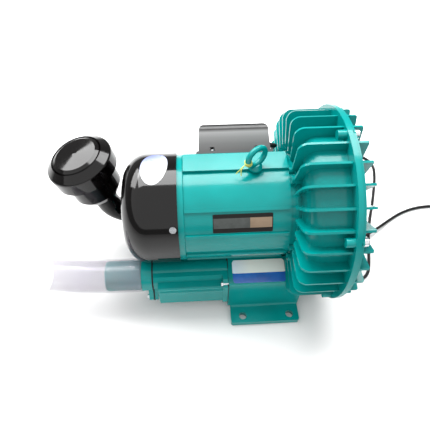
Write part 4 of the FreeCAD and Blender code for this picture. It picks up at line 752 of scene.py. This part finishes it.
HOSE_ROUTE: tuple[Point, ...] = (
    (-0.2213, -0.0730, 0.0730),
    (-0.2900, -0.0730, 0.0730),
    (-0.3450, -0.0712, 0.0746),
    (-0.3880, -0.0680, 0.0772),
)
COIL_CENTRE = Vector((0.482, 0.140, 0.0039))
PLUG_NOSE = Vector((0.453, 0.142, 0.0163))


def coil_points() -> list[Point]:
    """Work out the control points of the put-away coil.

    Returns:
        A flat spiral of two and a quarter turns, then half a turn that rises to the plug on top.
    """
    turns, per_turn, rising = 2.25, 16, 8
    outer, pitch, rise_power = 0.040, 0.0062, 1.3
    points: list[Point] = []
    for i in range(int(turns * per_turn) + 1):
        turn = i / per_turn
        angle = 2 * math.pi * (turn - 0.25)
        outward = Vector((math.cos(angle), math.sin(angle), 0))
        points.append(tuple(COIL_CENTRE + outward * (outer - pitch * turn)))
    inner = outer - pitch * turns
    rise = PLUG_NOSE - COIL_CENTRE
    for i in range(1, rising + 1):
        share = i / rising
        angle = math.pi * share
        radius = inner + (-rise.x - inner) * share**2
        across = radius * math.sin(angle) + rise.y * share
        place = Vector((radius * math.cos(angle), across, rise.z * share**rise_power))
        points.append(tuple(COIL_CENTRE + place))
    return points


@dataclass
class CoilTie:
    """The band that holds the coil's turns together.

    Attributes:
        angle: Where it lies on the coil, in degrees.
        low_r: Its inner end from the coil's middle, in metres.
        high_r: Its outer end.
        low_z: Its lower side.
        high_z: Its upper side.
        width: Its width along the lead.
        thickness: Thickness of the band.
    """

    angle: float = -45.0
    low_r: float = 0.0234
    high_r: float = 0.0426
    low_z: float = 0.0001
    high_z: float = 0.0077
    width: float = 0.008
    thickness: float = 0.0008

    def build(self) -> bpy.types.Object:
        """Build the band round the three turns.

        Returns:
            The band.
        """
        turn = math.radians(self.angle)
        outward = Vector((math.cos(turn), math.sin(turn), 0))
        along = Vector((-math.sin(turn), math.cos(turn), 0))
        corner = (self.high_z - self.low_z) / 2
        middle_z = (self.high_z + self.low_z) / 2
        base = Vector((COIL_CENTRE.x, COIL_CENTRE.y, 0))
        sides, verts = 24, []
        for k in range(sides):
            a = 2 * math.pi * k / sides
            end = self.high_r - corner if math.cos(a) > 0 else self.low_r + corner
            for inset in (0.0, self.thickness):
                reach = corner - inset
                height = middle_z + reach * math.sin(a)
                centre = base + outward * (end + reach * math.cos(a)) + Vector((0, 0, height))
                verts += [centre - along * self.width / 2, centre + along * self.width / 2]
        faces: list[tuple[int, ...]] = []
        for k in range(sides):
            a, b = 4 * k, 4 * ((k + 1) % sides)
            for m, n in ((0, 1), (1, 3), (3, 2), (2, 0)):
                faces.append((a + m, a + n, b + n, b + m))
        band = mesh_piece("coil_tie", verts, faces)
        smooth_by_angle(band, 50)
        band.data.materials.append(make_material(FINISHES[Slot.GASKET]))
        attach(band, Body.STATOR.value)
        return band


@dataclass
class MainsLead:
    """The lead from the box to its coil, with the strain relief and the band round the coil; the plug stays
    the CAD node.

    Attributes:
        radius: Radius of the lead in metres.
        length: Its whole length in metres; not used.
        wall_x: Where the box's end wall lies.
        relief_length: Length of the strain relief.
        relief_radius: Radius of the strain relief at the wall.
        relief_taper: How much thinner it is at its end.
        groove_depth: Depth of its grooves at the wall.
        grooves: Number of its grooves.
    """

    radius: float = 0.003
    length: float = 1.93
    wall_x: float = 0.003
    relief_length: float = 0.024
    relief_radius: float = 0.0045
    relief_taper: float = 0.0011
    groove_depth: float = 0.00035
    grooves: int = 6

    def relief(self) -> bpy.types.Object:
        """Build the tapered strain relief on the first stretch outside the box.

        Returns:
            The strain relief.
        """
        line = [point for point in line_of(LEAD_ROUTE) if point.x >= self.wall_x]
        run, kept, radii = 0.0, [line[0]], [self.relief_radius]
        for before, after in zip(line, line[1:]):
            run += (after - before).length
            if run > self.relief_length:
                break
            share = run / self.relief_length
            groove = self.groove_depth * math.sin(share * self.grooves * 2 * math.pi)
            kept.append(after)
            radii.append(self.relief_radius - self.relief_taper * share + groove * (1 - share))
        piece = tapered_tube("lead_strain_relief", kept, radii)
        piece.data.materials.append(make_material(FINISHES[Slot.GASKET]))
        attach(piece, Body.STATOR.value)
        return piece

    def build(self, plug: bpy.types.Object) -> None:
        """Args:
            plug: The CAD plug that lies on the coil; not used.
        """
        points = list(LEAD_ROUTE) + coil_points()
        lead = nurbs("mains_lead_run", points, self.radius)
        lead.data.materials.append(make_material(FINISHES[Slot.LEAD]))
        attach(lead, Body.STATOR.value)
        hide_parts("mains_lead", "mains_lead_coil")
        self.relief()
        CoilTie().build()


@dataclass
class StringTie:
    """The scrap of string that is tied round one leg of the lifting eye.

    Attributes:
        centre: Middle of the eye in metres.
        ring_radius: Radius of the eye to the middle of its bar.
        wire_radius: Radius of the bar.
        turn: Turn of the eye about its bolt in degrees.
        radius: Radius of the string.
        loops: Each loop's place round the eye and its lean, in degrees.
        knot_angle: The knot's place round the eye in degrees.
        knot_lift: How far the knot stands off the loops.
        slack: How much wider a loop is than the bar and the string.
        loop_points: Number of control points of a loop.
        ends: Control points of the two short ends, from the knot.
    """

    centre: Point = (-0.026, 0.0, 0.289)
    ring_radius: float = 0.0162
    wire_radius: float = 0.0045
    turn: float = 33.0
    radius: float = 0.0008
    loops: tuple[tuple[float, float], ...] = ((186, 6), (192, -4), (199, 8))
    knot_angle: float = 192
    knot_lift: float = 0.0008
    slack: float = 1.04
    loop_points: int = 12
    ends: tuple[tuple[Point, ...], ...] = (
        ((-0.004, -0.002, -0.002), (-0.009, -0.003, -0.009), (-0.013, -0.002, -0.0165)),
        ((-0.003, -0.003, 0.001), (-0.007, -0.006, -0.006), (-0.006, -0.009, -0.0135)),
    )

    def spline(self, curve: bpy.types.Curve, points: Sequence[Vector], closed: bool) -> None:
        """Add one strand.

        Args:
            curve: The curve that takes the strand.
            points: Points of the strand.
            closed: Whether the strand closes on itself.
        """
        strand = curve.splines.new("NURBS")
        strand.points.add(len(points) - 1)
        for point, place in zip(strand.points, points):
            point.co = (*place, 1.0)
        strand.order_u = CURVE_ORDER
        strand.use_cyclic_u = closed
        strand.use_endpoint_u = not closed

    def build(self) -> None:
        """Build the loops, the knot and the two short ends."""
        curve = bpy.data.curves.new("string_tie", "CURVE")
        curve.dimensions = "3D"
        curve.bevel_depth = self.radius
        curve.bevel_resolution = 3
        flat = math.radians(self.turn)
        aside = Vector((math.cos(flat), math.sin(flat), 0))
        upward = Vector((0, 0, 1))
        facing = aside.cross(upward)
        middle = Vector(self.centre)
        reach = self.wire_radius + self.radius
        for degrees, lean in self.loops:
            a = math.radians(degrees)
            outward = aside * math.cos(a) + upward * math.sin(a)
            along = -aside * math.sin(a) + upward * math.cos(a)
            hub = middle + outward * self.ring_radius
            loop: list[Vector] = []
            for k in range(self.loop_points):
                b = 2 * math.pi * k / self.loop_points
                sway = along * math.sin(b) * reach * math.sin(math.radians(lean))
                spoke = outward * math.cos(b) + facing * math.sin(b)
                loop.append(hub + spoke * reach * self.slack + sway)
            self.spline(curve, loop, True)
        a = math.radians(self.knot_angle)
        outward = aside * math.cos(a) + upward * math.sin(a)
        knot = middle + outward * (self.ring_radius + reach + self.knot_lift)
        for offsets in self.ends:
            self.spline(curve, [knot] + [knot + Vector(offset) for offset in offsets], False)
        tie = link("string_tie", curve)
        tie.data.materials.append(make_material(STRING))
        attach(tie, Body.STATOR.value)


@dataclass
class OutletHose:
    """The short translucent hose on the outlet nipple, less than three diameters long.

    Attributes:
        radius: Outside radius in metres.
        wall: Thickness of the wall.
    """

    radius: float = 0.030
    wall: float = 0.0027

    def build(self) -> None:
        """Build the hose in place of its solid."""
        hose = nurbs("outlet_hose_run", HOSE_ROUTE, self.radius)
        hose.data.resolution_u = 24
        hose.data.bevel_resolution = 12
        hose.data.use_fill_caps = False
        skin = hose.modifiers.new("wall", "SOLIDIFY")
        skin.thickness = self.wall
        skin.offset = -1.0
        hose.data.materials.append(make_material(FINISHES[Slot.HOSE]))
        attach(hose, Body.STATOR.value)
        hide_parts("outlet_hose")


@dataclass
class JointBead:
    """A gasket with its edge squeezed a little out of its joint.

    Attributes:
        node: CAD node of the gasket.
        port_y: Where the port's axis lies across the machine, in metres.
        port_z: Height of the port's axis in metres.
        proud: How far the edge stands out, across the machine and upwards.
        width: Width of the squeezed edge along the port.
    """

    node: str
    port_y: float
    proud: tuple[float, float]
    port_z: float = 0.073
    width: float = 0.0024

    def build(self, source: bpy.types.Object) -> None:
        """Build the gasket in place of its solid.

        Args:
            source: The CAD node.
        """
        mesh = source.data.copy()
        low, high = (pick(vertex.co.x for vertex in mesh.vertices) for pick in (min, max))
        middle = (low + high) / 2
        for vertex in mesh.vertices:
            outward = Vector((vertex.co.y - self.port_y, vertex.co.z - self.port_z)).normalized()
            vertex.co += Vector((0, outward.x * self.proud[0], outward.y * self.proud[1]))
            vertex.co.x = middle + (vertex.co.x - middle) * self.width / (high - low)
        bead = link(self.node + "_bead", mesh)
        mesh.materials.clear()
        mesh.materials.append(make_material(FINISHES[Slot.GASKET]))
        smooth_by_angle(bead)
        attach(bead, Body.STATOR.value)
        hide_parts(self.node)


@dataclass(frozen=True)
class Softbox:
    """An area light.

    Attributes:
        name: Name of the light.
        place: Where it stands, in metres.
        aim: The point that it faces.
        size: Width and height of its face in metres.
        power: Power in watts.
    """

    name: str
    place: Point
    aim: Point
    size: tuple[float, float]
    power: float

    def build(self) -> None:
        """Add the light to the scene."""
        light = bpy.data.lights.new(self.name, "AREA")
        light.shape = "RECTANGLE"
        light.size, light.size_y = self.size
        light.energy = self.power
        lamp = link(self.name, light)
        lamp.location = self.place
        direction = Vector(self.aim) - Vector(self.place)
        lamp.rotation_euler = direction.to_track_quat("-Z", "Y").to_euler()


@dataclass
class Studio:
    """Camera, floor and light.

    Attributes:
        camera_place: Where the camera stands, in metres.
        right: The camera's right.
        up: The camera's up.
        forward: The way the camera looks.
        sensor_mm: Width of the camera's sensor.
        lens_mm: Its focal length.
        floor_half: Half the floor's side.
        floor_z: Height of the floor, just under the feet.
        ambient: Strength of the surroundings' light.
        seen_extra: Strength that the surroundings gain where the camera sees them.
        softboxes: The area lights.
        overhead_power: Strength of the light from overhead.
        overhead_spread: How wide the light from overhead is, in degrees.
        overhead_direction: The way it shines.
    """

    camera_place: Point = (-0.1174, -0.4508, 0.7532)
    right: Point = (0.99846, -0.05478, 0.00771)
    up: Point = (0.03937, 0.80146, 0.59677)
    forward: Point = (0.03887, 0.59555, -0.80238)
    sensor_mm: float = 36.0
    lens_mm: float = 35.725
    floor_half: float = 6.0
    floor_z: float = -0.0002
    ambient: float = 0.33
    seen_extra: float = 0.62
    softboxes: tuple[Softbox, ...] = (
        Softbox("sky_light", (-0.1, 0.83, 1.88), (-0.05, 0.0, 0.12), (2.1, 1.2), 84.0),
        Softbox("left_light", (-1.43, 1.06, 1.59), (-0.33, 0.07, 0.25), (1.4, 0.9), 36.0),
    )
    overhead_power: float = 2.3
    overhead_spread: float = 120.0
    overhead_direction: Point = (0.06, 0.34, -0.94)

    def camera(self) -> None:
        """Place the camera as in the photograph."""
        data = bpy.data.cameras.new("camera")
        data.sensor_fit = "HORIZONTAL"
        data.sensor_width = self.sensor_mm
        data.lens = self.lens_mm
        data.clip_start = 0.01
        data.clip_end = 50.0
        camera = link("camera", data)
        turn = Matrix((self.right, self.up, -Vector(self.forward))).transposed()
        camera.matrix_world = Matrix.Translation(self.camera_place) @ turn.to_4x4()
        bpy.context.scene.camera = camera

    def floor(self) -> None:
        """Lay the pale floor."""
        half = self.floor_half
        sides = ((-half, -half), (half, -half), (half, half), (-half, half))
        corners = [Vector((x, y, self.floor_z)) for x, y in sides]
        floor = mesh_piece("floor", corners, [(0, 1, 2, 3)], smooth=False)
        floor.data.materials.append(make_material(FLOOR))

    def light(self) -> None:
        """Light the scene with soft lights above and behind, a wide one overhead and pale surroundings."""
        world = bpy.data.worlds.new("world")
        world.use_nodes = True
        background = world.node_tree.nodes["Background"]
        background.inputs["Color"].default_value = linear("FFFFFF")
        seen = world.node_tree.nodes.new("ShaderNodeLightPath").outputs["Is Camera Ray"]
        strength = world.node_tree.nodes.new("ShaderNodeMath")
        strength.operation = "MULTIPLY_ADD"
        world.node_tree.links.new(seen, strength.inputs[0])
        strength.inputs[1].default_value = self.seen_extra
        strength.inputs[2].default_value = self.ambient
        world.node_tree.links.new(strength.outputs["Value"], background.inputs["Strength"])
        bpy.context.scene.world = world
        for softbox in self.softboxes:
            softbox.build()
        overhead = bpy.data.lights.new("overhead_light", "SUN")
        overhead.energy = self.overhead_power
        overhead.angle = math.radians(self.overhead_spread)
        lamp = link("overhead_light", overhead)
        direction = Vector(self.overhead_direction)
        lamp.rotation_euler = direction.to_track_quat("-Z", "Y").to_euler()

    def build(self) -> None:
        """Build the whole studio."""
        self.camera()
        self.floor()
        self.light()
        bpy.context.scene.view_settings.view_transform = "Standard"


@dataclass
class Castings:
    """Every CAD node, with the finish of its slot.

    Attributes:
        nodes: The nodes by name.
        record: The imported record.
    """

    nodes: dict[str, bpy.types.Object]
    record: dict

    def build(self) -> None:
        """Give each node its material."""
        looks = {slot: make_material(finish) for slot, finish in FINISHES.items()}
        slots = {part["node"]: part["material_slot"] for part in self.record["subparts"]}
        for name, node in self.nodes.items():
            node.data.materials.clear()
            node.data.materials.append(looks[Slot(slots[name])])
            smooth_by_angle(node)


PORT_SIDES = (("outlet", -0.073), ("intake", 0.073))
JOINTS_PROUD = (("silencer", (0.0016, 0.0036)), ("flange", (0.0006, 0.0006)))


def main() -> None:
    """Dress the blower."""
    logging.basicConfig(level=logging.INFO, format="%(message)s")
    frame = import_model()
    Studio().build()
    MainsLead().build(frame["nodes"]["mains_plug"])
    OutletHose().build()
    Castings(frame["nodes"], frame["record"]).build()
    for side, port_y in PORT_SIDES:
        for joint, proud in JOINTS_PROUD:
            node = f"{side}_{joint}_gasket"
            JointBead(node, port_y, proud).build(frame["nodes"][node])
    PortLabel().build()
    BarrelPlate().build()
    CowlSticker().build()
    StringTie().build()
    bpy.context.view_layer.update()


if __name__ == "__main__":
    main()
